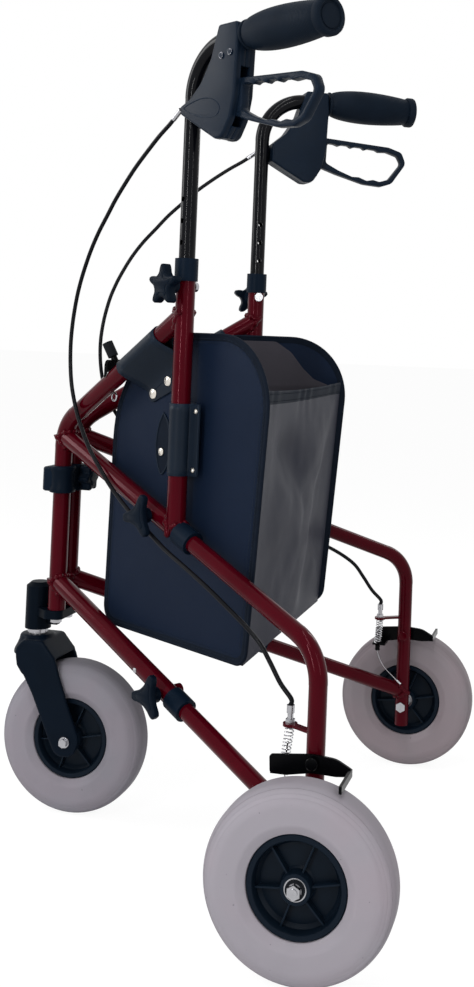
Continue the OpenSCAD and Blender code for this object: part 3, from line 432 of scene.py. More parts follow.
@dataclass(frozen=True)
class TyreRubber(Finish):
    """Pale foam tyre: faint blotches, a greyer tread and marks of the mould."""

    centre: Place = (0.0, 0.0, 0.0)
    tread_r: Flat = (86.0, 94.5)
    line_pitch: float = 2.6
    warmth: Rgb = (1.06, 0.97, 0.98)

    def shade(self, graph: Graph) -> dict[str, Any]:
        """Values and wires for the surface shader's sockets."""
        across = graph.along(Vector((0.0, 1.0, 0.0)), Vector(self.centre))
        up = graph.along(Vector((0.0, 0.0, 1.0)), Vector(self.centre))
        radius = (across * across + up * up).root()
        tread = radius.over(*self.tread_r)
        blotch = graph.speckle(42.0, 4.0, 0.55)
        warm = graph.speckle(75.0, 2.0).over(0.35, 0.7)
        grit = graph.speckle(1.6, 3.0, 0.6)
        specks = graph.speckle(5.5, 1.0).over(0.77, 0.8)
        lines = (radius * (math.tau / self.line_pitch)).sine() * 0.5 + 0.5
        warmer = tuple(channel * k for channel, k in zip(self.color, self.warmth))
        clean = graph.mix(warm * 0.6, self.color, warmer)
        worn = graph.mix(tread * (blotch * 0.5 + 0.25), clean, self.darker(0.68))
        dirty = graph.mix(blotch.over(0.5, 0.85) * 0.3, worn, self.darker(0.8))
        return {
            "Base Color": graph.mix(specks * 0.55, dirty, self.darker(0.4)),
            "Roughness": 0.58 + grit * 0.14 - tread * 0.06,
            "Specular IOR Level": 0.15,
            "Normal": graph.bump(grit * 0.35 + lines * tread * 0.6, 0.12),
        }


@dataclass(frozen=True)
class Plated(Finish):
    """Bright zinc or nickel plating with fine turning marks and dull patches."""

    roughness: float = 0.24

    def shade(self, graph: Graph) -> dict[str, Any]:
        """Values and wires for the surface shader's sockets."""
        patch = graph.speckle(6.0, 3.0)
        marks = graph.speckle(0.5, 2.0)
        return {
            "Base Color": self.between(graph, patch, 0.82, 1.12),
            "Metallic": 1.0,
            "Roughness": patch * 0.14 + (self.roughness - 0.07),
            "Normal": graph.bump(marks, 0.012),
        }


@dataclass(frozen=True)
class Woven(Finish):
    """Cloth with a plain weave: thread bump, slubs and large patches of random tone, lighter where glossier,
    that are also painted soft sheen.
    """

    side: Side = Side.LEFT
    pitch: float = 0.8
    roughness: float = 0.72
    specular: float = 0.06
    depth: float = 0.11
    across: Vector | None = None

    def shade(self, graph: Graph) -> dict[str, Any]:
        """Values and wires for the surface shader's sockets."""
        s = graph.along(self.across or LAYOUT.backwards(self.side))
        z = graph.along(Vector((0.0, 0.0, 1.0)))
        turn = math.tau / self.pitch
        weave = (s * turn).sine() * (z * turn).sine() * 0.5 + 0.5
        slub = graph.node(
            "ShaderNodeTexNoise",
            {"noise_dimensions": "3D"},
            {"Vector": graph.position(), "Scale": 160.0, "Detail": 3.0, "Distortion": 0.6},
        )
        # Large patches of random tone that also serve as painted soft sheen: lighter base colour and lower
        # roughness together.
        tone_and_painted_sheen = graph.speckle(70.0, 2.0)
        cloth = self.between(graph, tone_and_painted_sheen, 0.82, 1.2)
        return {
            "Base Color": graph.mix(weave * 0.35 + slub * 0.25, cloth, self.darker(1.55)),
            "Roughness": self.roughness + weave * 0.06 - tone_and_painted_sheen * 0.08,
            "Specular IOR Level": self.specular,
            "Normal": graph.bump(weave * 0.7 + slub * 0.3, self.depth),
        }


@dataclass(frozen=True)
class Tape(Finish):
    """Ribbed binding tape and piping."""

    def shade(self, graph: Graph) -> dict[str, Any]:
        """Values and wires for the surface shader's sockets."""
        fine = graph.speckle(0.8, 2.0)
        cloud = graph.speckle(14.0, 2.0)
        return {
            "Base Color": self.between(graph, cloud, 0.75, 1.35),
            "Roughness": 0.55 + fine * 0.16,
            "Specular IOR Level": 0.05,
            "Normal": graph.bump(fine, 0.09),
        }


class Finishes:
    """The finishes that the sub-assemblies share."""

    frame_red = Lacquer(
        "frame_red_lacquer", (0.0600, 0.0006, 0.0046), "frame_paint", 0.1, 0.13, sheen=(1.0, 0.4, 0.46)
    )
    gloss_black = Lacquer("handle_black_lacquer", (0.0025, 0.0028, 0.0045), "black_paint", 0.1, 0.1)
    plate_black = Lacquer("brake_black_lacquer", (0.0012, 0.0014, 0.0020), "black_paint", 0.2, 0.05)
    plastic = MouldedPlastic("satin_black_plastic", (0.0024, 0.0062, 0.0130), "black_plastic", 0.42, 0.045)
    shell_plastic = MouldedPlastic(
        "brake_shell_plastic", (0.0050, 0.0110, 0.0220), "black_plastic", 0.38, 0.07
    )
    stem_plastic = MouldedPlastic("stem_black_plastic", (0.0012, 0.0030, 0.0060), "black_plastic", 0.4, 0.03)
    hub_plastic = MouldedPlastic(
        "hub_black_plastic", (0.0036, 0.0076, 0.0140), "black_plastic", 0.36, 0.07, grain=0.9
    )
    cap_rubber = MouldedPlastic(
        "cap_black_rubber", (0.0060, 0.0070, 0.0090), "black_rubber", 0.6, 0.06, grain=0.8
    )
    zinc = Plated("bright_zinc", (0.40, 0.40, 0.42), "zinc", 0.26)
    spring_steel = Plated("spring_steel", (0.46, 0.46, 0.48), "zinc", 0.22)
    nickel = Plated("snap_nickel", (0.70, 0.66, 0.60), "zinc", 0.28)
    cable = MouldedPlastic(
        "cable_sleeve_black", (0.0030, 0.0034, 0.0050), "cable_sleeve", 0.3, 0.1, grain=0.6, depth=0.006
    )
    binding = Tape("navy_binding", (0.0050, 0.0085, 0.0160), "navy_cloth")
    thread = Tape("navy_thread", (0.018, 0.026, 0.042), "navy_cloth")
    strap = MouldedPlastic(
        "strap_vinyl", (0.0060, 0.0115, 0.0210), "navy_cloth", 0.42, 0.1, grain=0.7, depth=0.05
    )
    gusset = Woven(
        "grey_nylon", (0.030, 0.032, 0.044), "grey_cloth", pitch=0.7, roughness=0.45, specular=0.045,
        depth=0.05, across=Vector((1.0, 0.0, 0.0)),
    )

    @staticmethod
    def panel(side: Side) -> Finish:
        """Navy cloth of a side panel."""
        name = side.name_of("navy_cloth")
        return Woven(name, (0.0050, 0.0105, 0.0250), "navy_cloth", side, roughness=0.46, specular=0.055)

    @staticmethod
    def lining(side: Side) -> Finish:
        """Grey lining on the inboard face of a side panel."""
        name = side.name_of("grey_lining")
        return Woven(name, (0.044, 0.041, 0.050), "grey_cloth", side, 0.7, 0.5, 0.06, 0.05)


# Mesh forms


def turns(count: int) -> list[float]:
    """The angles, in radians, that part a full turn into so many."""
    return [math.tau * k / count for k in range(count)]


def distinct(profile: Sequence[Flat]) -> list[Flat]:
    """The profile without points that repeat."""
    kept: list[Flat] = []
    for point in profile:
        if not kept or math.dist(point, kept[-1]) > 1e-4:
            kept.append(point)
    return kept


def looped(line: Sequence[Any]) -> list[Any]:
    """A line that ends on its first point."""
    return [*line, line[0]]


def rounded(points: Sequence[Corner], steps: int = 8) -> list[Flat]:
    """A closed outline with rounded corners.

    Args:
        points: Corners as (x, y, radius).
        steps: Parts of each corner's arc.
    Returns:
        The outline's points.
    """
    outline: list[Flat] = []
    for i, (x, y, radius) in enumerate(points):
        here = Vector((x, y))
        if radius <= 0.0:
            outline.append((x, y))
            continue
        u = (Vector(points[i - 1][:2]) - here).normalized()
        v = (Vector(points[(i + 1) % len(points)][:2]) - here).normalized()
        half = math.acos(max(-1.0, min(1.0, u.dot(v)))) / 2.0
        centre = here + (u + v).normalized() * (radius / math.sin(half))
        first = here + u * (radius / math.tan(half)) - centre
        last = here + v * (radius / math.tan(half)) - centre
        start = math.atan2(first.y, first.x)
        sweep = (math.atan2(last.y, last.x) - start + math.pi) % math.tau - math.pi
        for k in range(steps + 1):
            angle = start + sweep * k / steps
            outline.append((centre.x + radius * math.cos(angle), centre.y + radius * math.sin(angle)))
    return outline


def inset(outline: Sequence[Flat], by: float) -> list[Flat]:
    """The outline moved inwards, or outwards where by is negative."""
    count = len(outline)
    area = sum(
        outline[i][0] * outline[(i + 1) % count][1] - outline[(i + 1) % count][0] * outline[i][1]
        for i in range(count)
    )
    turn = 1.0 if area > 0.0 else -1.0
    moved: list[Flat] = []
    for i, point in enumerate(outline):
        before = Vector(point) - Vector(outline[i - 1])
        after = Vector(outline[(i + 1) % count]) - Vector(point)
        before = before.normalized() if before.length > 1e-9 else after.normalized()
        after = after.normalized() if after.length > 1e-9 else before
        n1 = Vector((-before.y, before.x)) * turn
        n2 = Vector((-after.y, after.x)) * turn
        mitre = n1 + n2
        mitre = mitre.normalized() if mitre.length > 1e-6 else n1
        reach = by / max(0.45, mitre.dot(n1))
        moved.append((point[0] + mitre.x * reach, point[1] + mitre.y * reach))
    return moved


def reach(outline: Sequence[Flat], centre: Vector, angle: float) -> float:
    """Distance from a centre to the outline round it, in one direction.

    Args:
        outline: The closed outline.
        centre: A point inside it.
        angle: The direction in radians.
    Returns:
        The largest distance at which the direction meets the outline.
    """
    way = Vector((math.cos(angle), math.sin(angle)))
    best = 0.0
    for i, point in enumerate(outline):
        start = Vector(outline[i - 1]) - centre
        edge = Vector(point) - Vector(outline[i - 1])
        cross = way.x * edge.y - way.y * edge.x
        if abs(cross) > 1e-9:
            far = (start.x * edge.y - start.y * edge.x) / cross
            share = (start.x * way.y - start.y * way.x) / cross
            if -1e-6 <= share <= 1.0 + 1e-6:
                best = max(best, far)
    return best


def smooth_route(points: Sequence[Sequence[float]], steps: int) -> list[Vector]:
    """A Catmull-Rom curve through the points, with so many parts between two of them."""
    route = [Vector(p) for p in points]
    curve: list[Vector] = []
    for i in range(len(route) - 1):
        a, b = route[max(i - 1, 0)], route[i]
        c, d = route[i + 1], route[min(i + 2, len(route) - 1)]
        square, cube = 2.0 * a - 5.0 * b + 4.0 * c - d, 3.0 * b - a - 3.0 * c + d
        for k in range(steps):
            t = k / steps
            curve.append(0.5 * (2.0 * b + (c - a) * t + square * t**2 + cube * t**3))
    curve.append(route[-1])
    return curve


class Form:
    """A mesh in the making, in millimetres of some local axes."""

    def __init__(self) -> None:
        """Start empty."""
        self.points: list[Vector] = []
        self.faces: list[tuple[int, ...]] = []

    def ring(self, points: Iterable[Sequence[float]]) -> list[int]:
        """Add points and return their numbers."""
        start = len(self.points)
        self.points.extend(Vector(p) for p in points)
        return list(range(start, len(self.points)))

    def skin(self, first: Sequence[int], second: Sequence[int], closed: bool = True) -> None:
        """Quads between two rows of points of the same count."""
        for i in range(len(first) if closed else len(first) - 1):
            k = (i + 1) % len(first)
            self.faces.append((first[i], first[k], second[k], second[i]))

    def lid(self, ring: Sequence[int]) -> None:
        """One face over a ring."""
        self.faces.append(tuple(ring))

    def lathe(
        self, profile: Sequence[Flat], place: Matrix, segments: int = 64, closed: bool = True
    ) -> "Form":
        """Turn a profile about the local Z axis.

        Args:
            profile: Points as (radius, height).
            place: Where the lathe's axes lie.
            segments: Parts of the turn.
            closed: Whether the profile's last point joins its first.
        Returns:
            This form.
        """
        rows: list[list[int]] = []
        for radius, height in profile:
            round_ = turns(segments) if radius > 1e-6 else [0.0]
            rows.append(self.ring(
                place @ Vector((radius * math.cos(a), radius * math.sin(a), height)) for a in round_))
        for first, second in zip(rows, rows[1:] + rows[:1] if closed else rows[1:]):
            if len(first) == len(second) == 1:
                continue
            if len(first) == 1 or len(second) == 1:
                tip, round_ = (first[0], second) if len(first) == 1 else (second[0], first)
                for i in range(segments):
                    self.faces.append((tip, round_[i], round_[(i + 1) % segments]))
            else:
                self.skin(first, second)
        return self

    def sweep(
        self,
        path: Sequence[Vector],
        radius: float | Callable[[int], float],
        sides: int = 10,
        loop: bool = False,
    ) -> "Form":
        """A round tube along a path.

        Args:
            path: The points of its middle line.
            radius: Its radius, or a function of the point's number.
            sides: Points of each ring.
            loop: Whether its end joins its start.
        Returns:
            This form.
        """
        count = len(path)
        rows: list[list[int]] = []
        normal: Vector | None = None
        for i, point in enumerate(path):
            ahead = path[(i + 1) % count] if loop else path[min(i + 1, count - 1)]
            behind = path[i - 1] if loop else path[max(i - 1, 0)]
            way = (ahead - behind).normalized()
            if normal is None:
                normal = way.orthogonal()
            normal = (normal - way * normal.dot(way)).normalized()
            other = way.cross(normal)
            r = radius(i) if callable(radius) else radius
            rows.append(self.ring(
                point + r * (math.cos(a) * normal + math.sin(a) * other) for a in turns(sides)))
        for first, second in zip(rows, rows[1:]):
            self.skin(first, second)
        if loop:
            near = min(
                range(sides), key=lambda k: (self.points[rows[0][k]] - self.points[rows[-1][0]]).length
            )
            self.skin(rows[-1], rows[0][near:] + rows[0][:near])
        else:
            self.lid(rows[0][::-1])
            self.lid(rows[-1])
        return self

    def prism(
        self,
        outline: Sequence[Flat],
        low: float,
        high: float,
        to_space: ToSpace,
        edges: tuple[float, float] = (1.0, 1.0),
        holes: Sequence[Sequence[Flat]] = (),
        steps: int = 4,
    ) -> "Form":
        """A plate with rounded edges.

        Args:
            outline: Its outline in the plane.
            low: Where it starts in depth.
            high: Where it ends in depth.
            to_space: Turns (x, y, depth) into a point.
            edges: Edge radii at low and high.
            holes: Outlines of openings.
            steps: Parts of each edge's rounding.
        Returns:
            This form.
        """
        bend = [math.pi / 2.0 * k / steps for k in range(steps + 1)]
        near, far = edges
        levels = [(near * (1.0 - math.sin(a)), low + near * (1.0 - math.cos(a))) for a in bend]
        levels += [(far * (1.0 - math.sin(a)), high - far * (1.0 - math.cos(a))) for a in bend[::-1]]
        loops = [(list(outline), 1.0)] + [(list(hole), -1.0) for hole in holes]
        ends: list[list[tuple[list[int], list[Flat]]]] = [[], []]
        for loop, sense in loops:
            rows = []
            for by, depth in levels:
                moved = inset(loop, sense * by)
                rows.append((self.ring(to_space(x, y, depth) for x, y in moved), moved))
            for first, second in zip(rows, rows[1:]):
                self.skin(first[0], second[0])
            ends[0].append(rows[0])
            ends[1].append(rows[-1])
        for end in ends:
            numbers = [n for ring, _ in end for n in ring]
            flats = [[Vector((x, y, 0.0)) for x, y in moved] for _, moved in end]
            for triangle in tessellate_polygon(flats):
                self.faces.append(tuple(numbers[k] for k in triangle))
        return self

    def sheet(self, rows: Sequence[Sequence[Vector]]) -> "Form":
        """A surface through rows of points."""
        numbers = [self.ring(row) for row in rows]
        for first, second in zip(numbers, numbers[1:]):
            self.skin(first, second, closed=False)
        return self

    def dome(self, place: Matrix, radius: float, height: float) -> "Form":
        """A snap's or rivet's head with a rolled rim, its base on the local XY plane."""
        shares = ((1.0, 0.0), (1.0, 0.35), (0.92, 0.6), (0.72, 0.62), (0.62, 0.8), (0.35, 1.0), (0.0, 1.0))
        return self.lathe([(radius * r, height * h) for r, h in shares], place, 24, closed=False)

    def moulded(
        self, name: str, place: Matrix, finish: Finish, voxel: float, rounds: int
    ) -> bpy.types.Object:
        """Make the object as one skin over its overlapping forms, with soft fillets.

        Args:
            name: The piece's name.
            place: From local millimetres to the object's metres.
            finish: Its finish.
            voxel: Fineness of the skin.
            rounds: Rounds of smoothing.
        Returns:
            The object.
        """
        piece = self.build(name, place, finish)
        skin = piece.modifiers.new("skin", "REMESH")
        skin.mode = "VOXEL"
        skin.voxel_size = voxel * MM
        skin.use_smooth_shade = True
        fillets = piece.modifiers.new("fillets", "SMOOTH")
        fillets.factor = 0.5
        fillets.iterations = rounds
        bpy.context.view_layer.update()
        mesh = bpy.data.meshes.new_from_object(piece.evaluated_get(bpy.context.evaluated_depsgraph_get()))
        piece.modifiers.clear()
        piece.data = mesh
        mesh.shade_smooth()
        if not mesh.materials:
            mesh.materials.append(finish.material())
        LOG.info("%s: one skin of %d faces", name, len(mesh.polygons))
        return piece

    def build(self, name: str, place: Matrix, finish: Finish, sharp: float = SHARP) -> bpy.types.Object:
        """Make the object.

        Args:
            name: The piece's name.
            place: From local millimetres to the object's metres.
            finish: Its finish.
            sharp: Edges that bend more than this many degrees stay sharp.
        Returns:
            The object.
        """
        mesh = bpy.data.meshes.new(name)
        mesh.from_pydata([place @ p for p in self.points], [], self.faces)
        work = bmesh.new()
        work.from_mesh(mesh)
        bmesh.ops.remove_doubles(work, verts=work.verts, dist=1e-7)
        bmesh.ops.recalc_face_normals(work, faces=work.faces)
        for face in work.faces:
            face.smooth = True
        work.to_mesh(mesh)
        work.free()
        mesh.set_sharp_from_angle(angle=math.radians(sharp))
        mesh.materials.append(finish.material())
        piece = bpy.data.objects.new(name, mesh)
        bpy.context.scene.collection.objects.link(piece)
        LOG.info("%s: %d faces", name, len(mesh.polygons))
        return piece


def in_side_plane(s: float, z: float, depth: float = 0.0) -> Vector:
    """A plate in the side frame's plane, its depth counted outboard."""
    return Vector((s, -depth, z))


def facing_x(y: float, z: float, depth: float) -> Vector:
    """A plate in the plane of y and z, its depth along x."""
    return Vector((depth, y, z))


def facing_y(x: float, z: float, depth: float) -> Vector:
    """A plate in the plane of x and z, its depth along y."""
    return Vector((x, depth, z))


def facing_z(x: float, y: float, depth: float) -> Vector:
    """A plate that lies level, its depth along z."""
    return Vector((x, y, depth))


def on_axes(axes: Matrix) -> ToSpace:
    """A plate in the XY plane of some axes, its depth along their Z."""
    return lambda x, y, depth: axes @ Vector((x, y, depth))


def outboard(s: float, z: float, y: float = 0.0) -> Matrix:
    """Axes at a place of a side frame with Z pointing outboard."""
    return Matrix.Translation((s, y, z)) @ Matrix.Rotation(math.radians(90.0), 4, "X")


def crosswise(place: Sequence[float]) -> Matrix:
    """Axes at a place with Z along the first axis, as the wheel axles lie."""
    return Matrix.Translation(place) @ Matrix.Rotation(math.radians(90.0), 4, "Y")


def soften(piece: bpy.types.Object, width: float) -> None:
    """Round the sharp edges of a solid by a modifier, leaving its mesh alone."""
    bevel = piece.modifiers.new("edge_round", "BEVEL")
    bevel.width = width * MM
    bevel.segments = 3
    bevel.limit_method = "ANGLE"
    bevel.angle_limit = math.radians(40.0)
    bevel.harden_normals = False


def thicken(piece: bpy.types.Object, by: float, rim: bool = True) -> None:
    """Give a sheet its thickness by a modifier, with or without walls at its edges."""
    solid = piece.modifiers.new("thickness", "SOLIDIFY")
    solid.thickness = by * MM
    solid.offset = 0.0
    solid.use_rim = rim


def stand_in(piece: bpy.types.Object, node: str, body: str) -> None:
    """Put a piece in a solid's place.

    Args:
        piece: The piece.
        node: The solid that it replaces.
        body: The body that carries it.
    """
    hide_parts(node)
    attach(piece, body)


# Sub-assemblies


@dataclass
class Wheel:
    """A foam tyre on a ribbed plastic hub."""

    tyre_node: str
    hub_node: str
    body: str
    centre: Place
    foam: Rgb
    seal: bool = True
    radius: float = LAYOUT.wheel_r
    half_width: float = 22.5
    hub_radius: float = 50.0
    ribs: int = 6
    grooves: tuple[float, ...] = (12.0, 6.0, 0.0, -6.0, -12.0)
    groove_w: Flat = (0.8, 0.45)
    groove_depth: float = 0.9
    shoulder: tuple[float, ...] = (20.2, 17.6, 14.6, -14.6, -17.6, -20.2)
    shoulder_w: float = 0.35
    shoulder_depth: float = 0.8
    hub_half: tuple[Flat, ...] = (
        (11.06, 13.4), (11.06, 20.5), (14.4, 20.5), (15.0, 19.6), (15.8, 9.5), (18.0, 7.2), (38.0, 4.6),
        (41.6, 7.6), (43.0, 15.6), (44.0, 16.8), (48.4, 16.8), (49.4, 15.9), (49.7, 12.0))
    rib: tuple[Flat, ...] = ((14.6, 4.0), (42.4, 4.0), (42.4, 11.4), (15.0, 15.4))
    rib_half: float = 0.9
    seal_ring: tuple[Flat, ...] = (
        (6.9, 22.6), (9.3, 22.6), (9.7, 21.8), (9.7, 20.6), (9.3, 20.6), (8.7, 22.2), (6.9, 22.2))

    def tyre_profile(self) -> list[Flat]:
        """The tyre's section as (radius, height across)."""
        half, r, seat = self.half_width, self.radius, self.hub_radius
        upper = [(seat, half - 5.0, 2.0), (seat + 9.0, half, 8.0)]
        upper += [(r - 14.0, half, 18.0), (r, half - 10.0, 12.0)]
        side = rounded(upper + [(x, -y, bend) for x, y, bend in reversed(upper)], 9)
        wide, narrow = self.groove_w
        inside, tread_half = seat + 25.0, 8.0
        profile: list[Flat] = []
        for point, after in zip(side, looped(side)[1:]):
            profile.append(point)
            for x in self.shoulder:
                if point[0] > inside and (point[1] - x) * (after[1] - x) < 0.0:
                    share = (point[1] - x) / (point[1] - after[1])
                    level = point[0] + (after[0] - point[0]) * share
                    fall = self.shoulder_w * ((after[0] - point[0]) / (point[1] - after[1]))
                    profile += [(level - fall, x + self.shoulder_w), (level - self.shoulder_depth, x)]
                    profile.append((level + fall, x - self.shoulder_w))
            if point[0] > inside and point[1] > tread_half and after[1] < -tread_half:
                floor = r - self.groove_depth
                for x in self.grooves:
                    profile += [(r, x + wide), (floor, x + narrow), (floor, x - narrow), (r, x - wide)]
        return distinct(profile)

    def build(self, place: Matrix) -> None:
        """Make the tyre and hub and set them on their body.

        Args:
            place: The axes in which the centre is given.
        """
        axle = crosswise(self.centre)
        world = place @ Vector(self.centre)
        finish = TyreRubber(f"{self.tyre_node}_foam", self.foam, "grey_tyre", centre=tuple(world))
        foam = Form().lathe(self.tyre_profile(), axle, 160)
        stand_in(foam.build(finish.name, place, finish, 50.0), self.tyre_node, self.body)
        hub = self.hub_form(axle).build(self.hub_node + "_dish", place, Finishes.hub_plastic, 32.0)
        stand_in(hub, self.hub_node, self.body)
        if self.seal:
            ring = Form().lathe(self.seal_ring, axle, 40)
            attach(ring.build(self.hub_node + "_seal", place, Finishes.cap_rubber), self.body)

    def hub_form(self, axle: Matrix) -> Form:
        """The hub: flange, dish, boss and thin ribs on both faces."""
        form = Form().lathe([*self.hub_half, *((r, -h) for r, h in reversed(self.hub_half))], axle, 120)
        for face in (-1.0, 1.0):
            for k in range(self.ribs):
                turn = Matrix.Rotation(math.tau * (k + 0.65) / self.ribs, 4, "Z")
                form.prism(
                    self.rib, -self.rib_half, self.rib_half,
                    lambda x, y, d, t=turn, f=face: axle @ (t @ Vector((x, d, f * y))), (0.35, 0.35), steps=2)
        return form


@dataclass
class Grip:
    """The soft handle grip with a swelling palm and an end flange."""

    side: Side
    start: float = 330.0
    length: float = 129.0
    neck_r: float = 15.5
    palm_r: float = 22.0
    flange_r: float = 21.0
    flange_w: float = 11.0
    bore: float = 9.6
    taper: float = 2.5
    collar: tuple[Flat, ...] = ((16.4, 0.0), (17.0, 0.7), (17.0, 2.6), (16.3, 3.3), (15.2, 3.6), (15.2, 4.6))
    end_face: tuple[Flat, ...] = (
        (0.0, 2.6), (0.7, 0.8), (2.2, 0.0), (4.4, 0.0), (5.2, 0.9), (5.4, 2.2), (7.6, 2.4), (8.2, 1.5))

    def radius(self, t: float) -> float:
        """Radius of the palm at a share t of its length."""
        swell = math.sin(math.pi * t**0.75) ** 0.8 if 0.0 < t < 1.0 else 0.0
        return self.neck_r + (self.palm_r - self.neck_r) * swell + self.taper * t

    def build(self) -> None:
        """Make the grip on its handle."""
        end, rim, neck = self.length, self.flange_r, self.collar[-1][1]
        barrel = end - self.flange_w
        profile: list[Flat] = [(self.bore, 0.0), *self.collar]
        for k in range(1, 61):
            t = k / 60.0
            profile.append((self.radius(t), neck + (barrel - neck) * t))
        profile += [(rim - 0.9, barrel + 0.5), (rim, barrel + 1.8)]
        profile += [(rim - inwards, end - deep) for inwards, deep in self.end_face]
        profile += [(4.0, end - 1.1), (0.0, end - 1.0), (0.0, end - 3.0), (self.bore, end - 3.0)]
        axes = crosswise((self.start, 0.0, LAYOUT.grip_z))
        name = self.side.name_of("grip")
        finish = GripRubber(name + "_rubber", (0.0030, 0.0074, 0.0150), "black_rubber", self.side)
        soft = Form().lathe(profile, axes, 72)
        piece = soft.build(name + "_soft", LAYOUT.side_frame(self.side), finish, 45.0)
        stand_in(piece, name, self.side.name_of("handle"))


@dataclass
class BrakeHandle:
    """The clamped brake housing and its loop lever."""

    side: Side
    outer: float = 16.0
    inner: float = 13.0
    split: float = -1.5
    seam: float = 0.2
    cover_base: float = 9.8
    pocket: tuple[float, float] = (-7.9, 4.9)
    lever_w: float = 12.0
    lever_edge: float = 2.2
    lever_middle: Flat = (386.0, 865.0)
    screws: tuple[Flat, ...] = ((304.0, 921.0), (319.0, 923.0))
    ridge: tuple[Flat, ...] = (
        (240.0, 869.5), (254.0, 874.0), (271.0, 876.5), (290.0, 874.5), (303.0, 865.0), (299.0, 855.5),
        (281.0, 854.5), (260.0, 859.5), (244.0, 866.0))
    cover: tuple[Corner, ...] = (
        (296, 957, 4), (328, 957, 4), (329.4, 940, 6), (327, 876, 40), (321, 850, 12), (308, 829, 12),
        (296, 829, 8), (265, 845.5, 30), (234, 862.5, 3), (231.5, 871.5, 3), (250, 879.5, 10), (268, 895, 25),
        (284, 920, 20))
    body: tuple[Corner, ...] = (
        (296, 957, 4), (328, 957, 4), (329.2, 936, 4), (327, 876, 30), (321, 850, 12), (308, 829, 12),
        (296, 829, 8), (265, 845.5, 20), (249.2, 854.5, 1), (249.2, 879, 1), (268, 895, 20), (284, 920, 20))
    core: tuple[Corner, ...] = (
        (296, 957, 4), (328, 957, 4), (329, 936, 4), (328, 908.2, 1), (297, 906, 2), (297, 846, 2),
        (318, 842, 1), (308, 829.5, 8), (296, 829.5, 8), (265, 845.5, 20), (249.2, 854.5, 1), (249.2, 879, 1),
        (268, 895, 20), (284, 920, 20))
    loop: tuple[Corner, ...] = (
        (314, 896, 6), (424, 890, 10), (444, 884, 8), (451, 868, 10), (430, 838, 12), (414, 832.5, 8),
        (388, 834, 30), (346, 845, 30), (312, 856, 8))
    window: tuple[Corner, ...] = (
        (331, 888, 4), (343, 887.4, 2), (347, 884.8, 2), (353, 887.4, 4), (363, 887, 4), (367.5, 884, 2),
        (373, 886.4, 4), (383, 886, 4), (387.5, 883, 2), (393, 885.2, 4), (404, 884.4, 4), (409, 881.8, 2),
        (421, 882.6, 4), (437.5, 878, 5), (443.5, 867.5, 6), (425.5, 844, 8), (411.5, 839.5, 5),
        (402, 841.6, 5), (392, 839.6, 6), (380, 843.8, 6), (370, 843.6, 6), (349, 851, 14), (330, 860, 5))

    def build(self) -> None:
        """Make the housing and the lever."""
        place = LAYOUT.side_frame(self.side)
        cover, body, core = (rounded(corners) for corners in (self.cover, self.body, self.core))
        near, far = (-y for y in self.pocket)
        form = Form()
        for outline, low, high, edges, steps in (
            (cover, self.cover_base, self.outer, (0.3, 2.6), 4),
            (body, near, self.cover_base + 0.1, (0.1, 0.1), 1),
            (core, -self.split + self.seam, near, (0.5, 0.1), 2),
            (core, far, -self.split - self.seam, (0.1, 0.5), 2),
            (body, -self.inner, far, (2.6, 0.1), 4),
        ):
            form.prism(outline, low, high, in_side_plane, edges, steps=steps)
        line = smooth_route([(s, -self.outer, z) for s, z in looped(self.ridge)], 6)[:-1]
        form.sweep(line, 0.55, 6, loop=True)
        head = [(3.6, 0.0), (3.6, 1.2), (3.0, 1.75), (0.0, 1.8)]
        for s, z in self.screws:
            form.lathe(head, outboard(s, z, -self.outer), 20, closed=False)
        name = self.side.name_of("brake_housing")
        piece = form.build(name + "_shells", place, Finishes.shell_plastic, 36.0)
        stand_in(piece, name, self.side.name_of("handle"))
        self.build_lever(place)

    def build_lever(self, place: Matrix) -> None:
        """Make the loop lever with its finger waves.

        Args:
            place: The side frame's axes.
        """
        half, edge = self.lever_w / 2.0, self.lever_edge
        soft = 0.3 * edge
        low, high = -self.split - half, -self.split + half
        outer, inner = rounded(self.loop), rounded(self.window, 5)
        middle = Vector(self.lever_middle)
        form = Form()
        rows: list[list[int]] = []
        for angle in turns(240):
            ro, ri = reach(outer, middle, angle), reach(inner, middle, angle)
            section = [(ri + edge, high), (ri + soft, high - soft), (ri, high - edge), (ri, low + edge)]
            section += [(ri + soft, low + soft), (ri + edge, low), (ro - edge, low), (ro - soft, low + soft)]
            section += [(ro, low + edge), (ro, high - edge), (ro - soft, high - soft), (ro - edge, high)]
            way = Vector((math.cos(angle), math.sin(angle)))
            rows.append(form.ring(in_side_plane(*(middle + way * r), depth) for r, depth in section))
        for first, second in zip(rows, looped(rows)[1:]):
            form.skin(first, second)
        name = self.side.name_of("brake_lever")
        piece = form.build(name + "_loop", place, Finishes.shell_plastic, 34.0)
        stand_in(piece, name, self.side.name_of("lever"))


@dataclass(frozen=True)
class LobedHead:
    """A knob's head: a disc with round notches, and how deep its screw goes."""

    lobes: int
    radius: float
    notch_r: float
    notch_away: float
    lip: float
    screw_tip: float


class KnobKind(Enum):
    """The shapes of the clamping knobs."""

    STAR = LobedHead(5, 24.0, 10.1, 24.0, 2.6, 9.82)
    TRI_LOBE = LobedHead(3, 26.0, 34.0, 45.5, 1.8, -7.0)


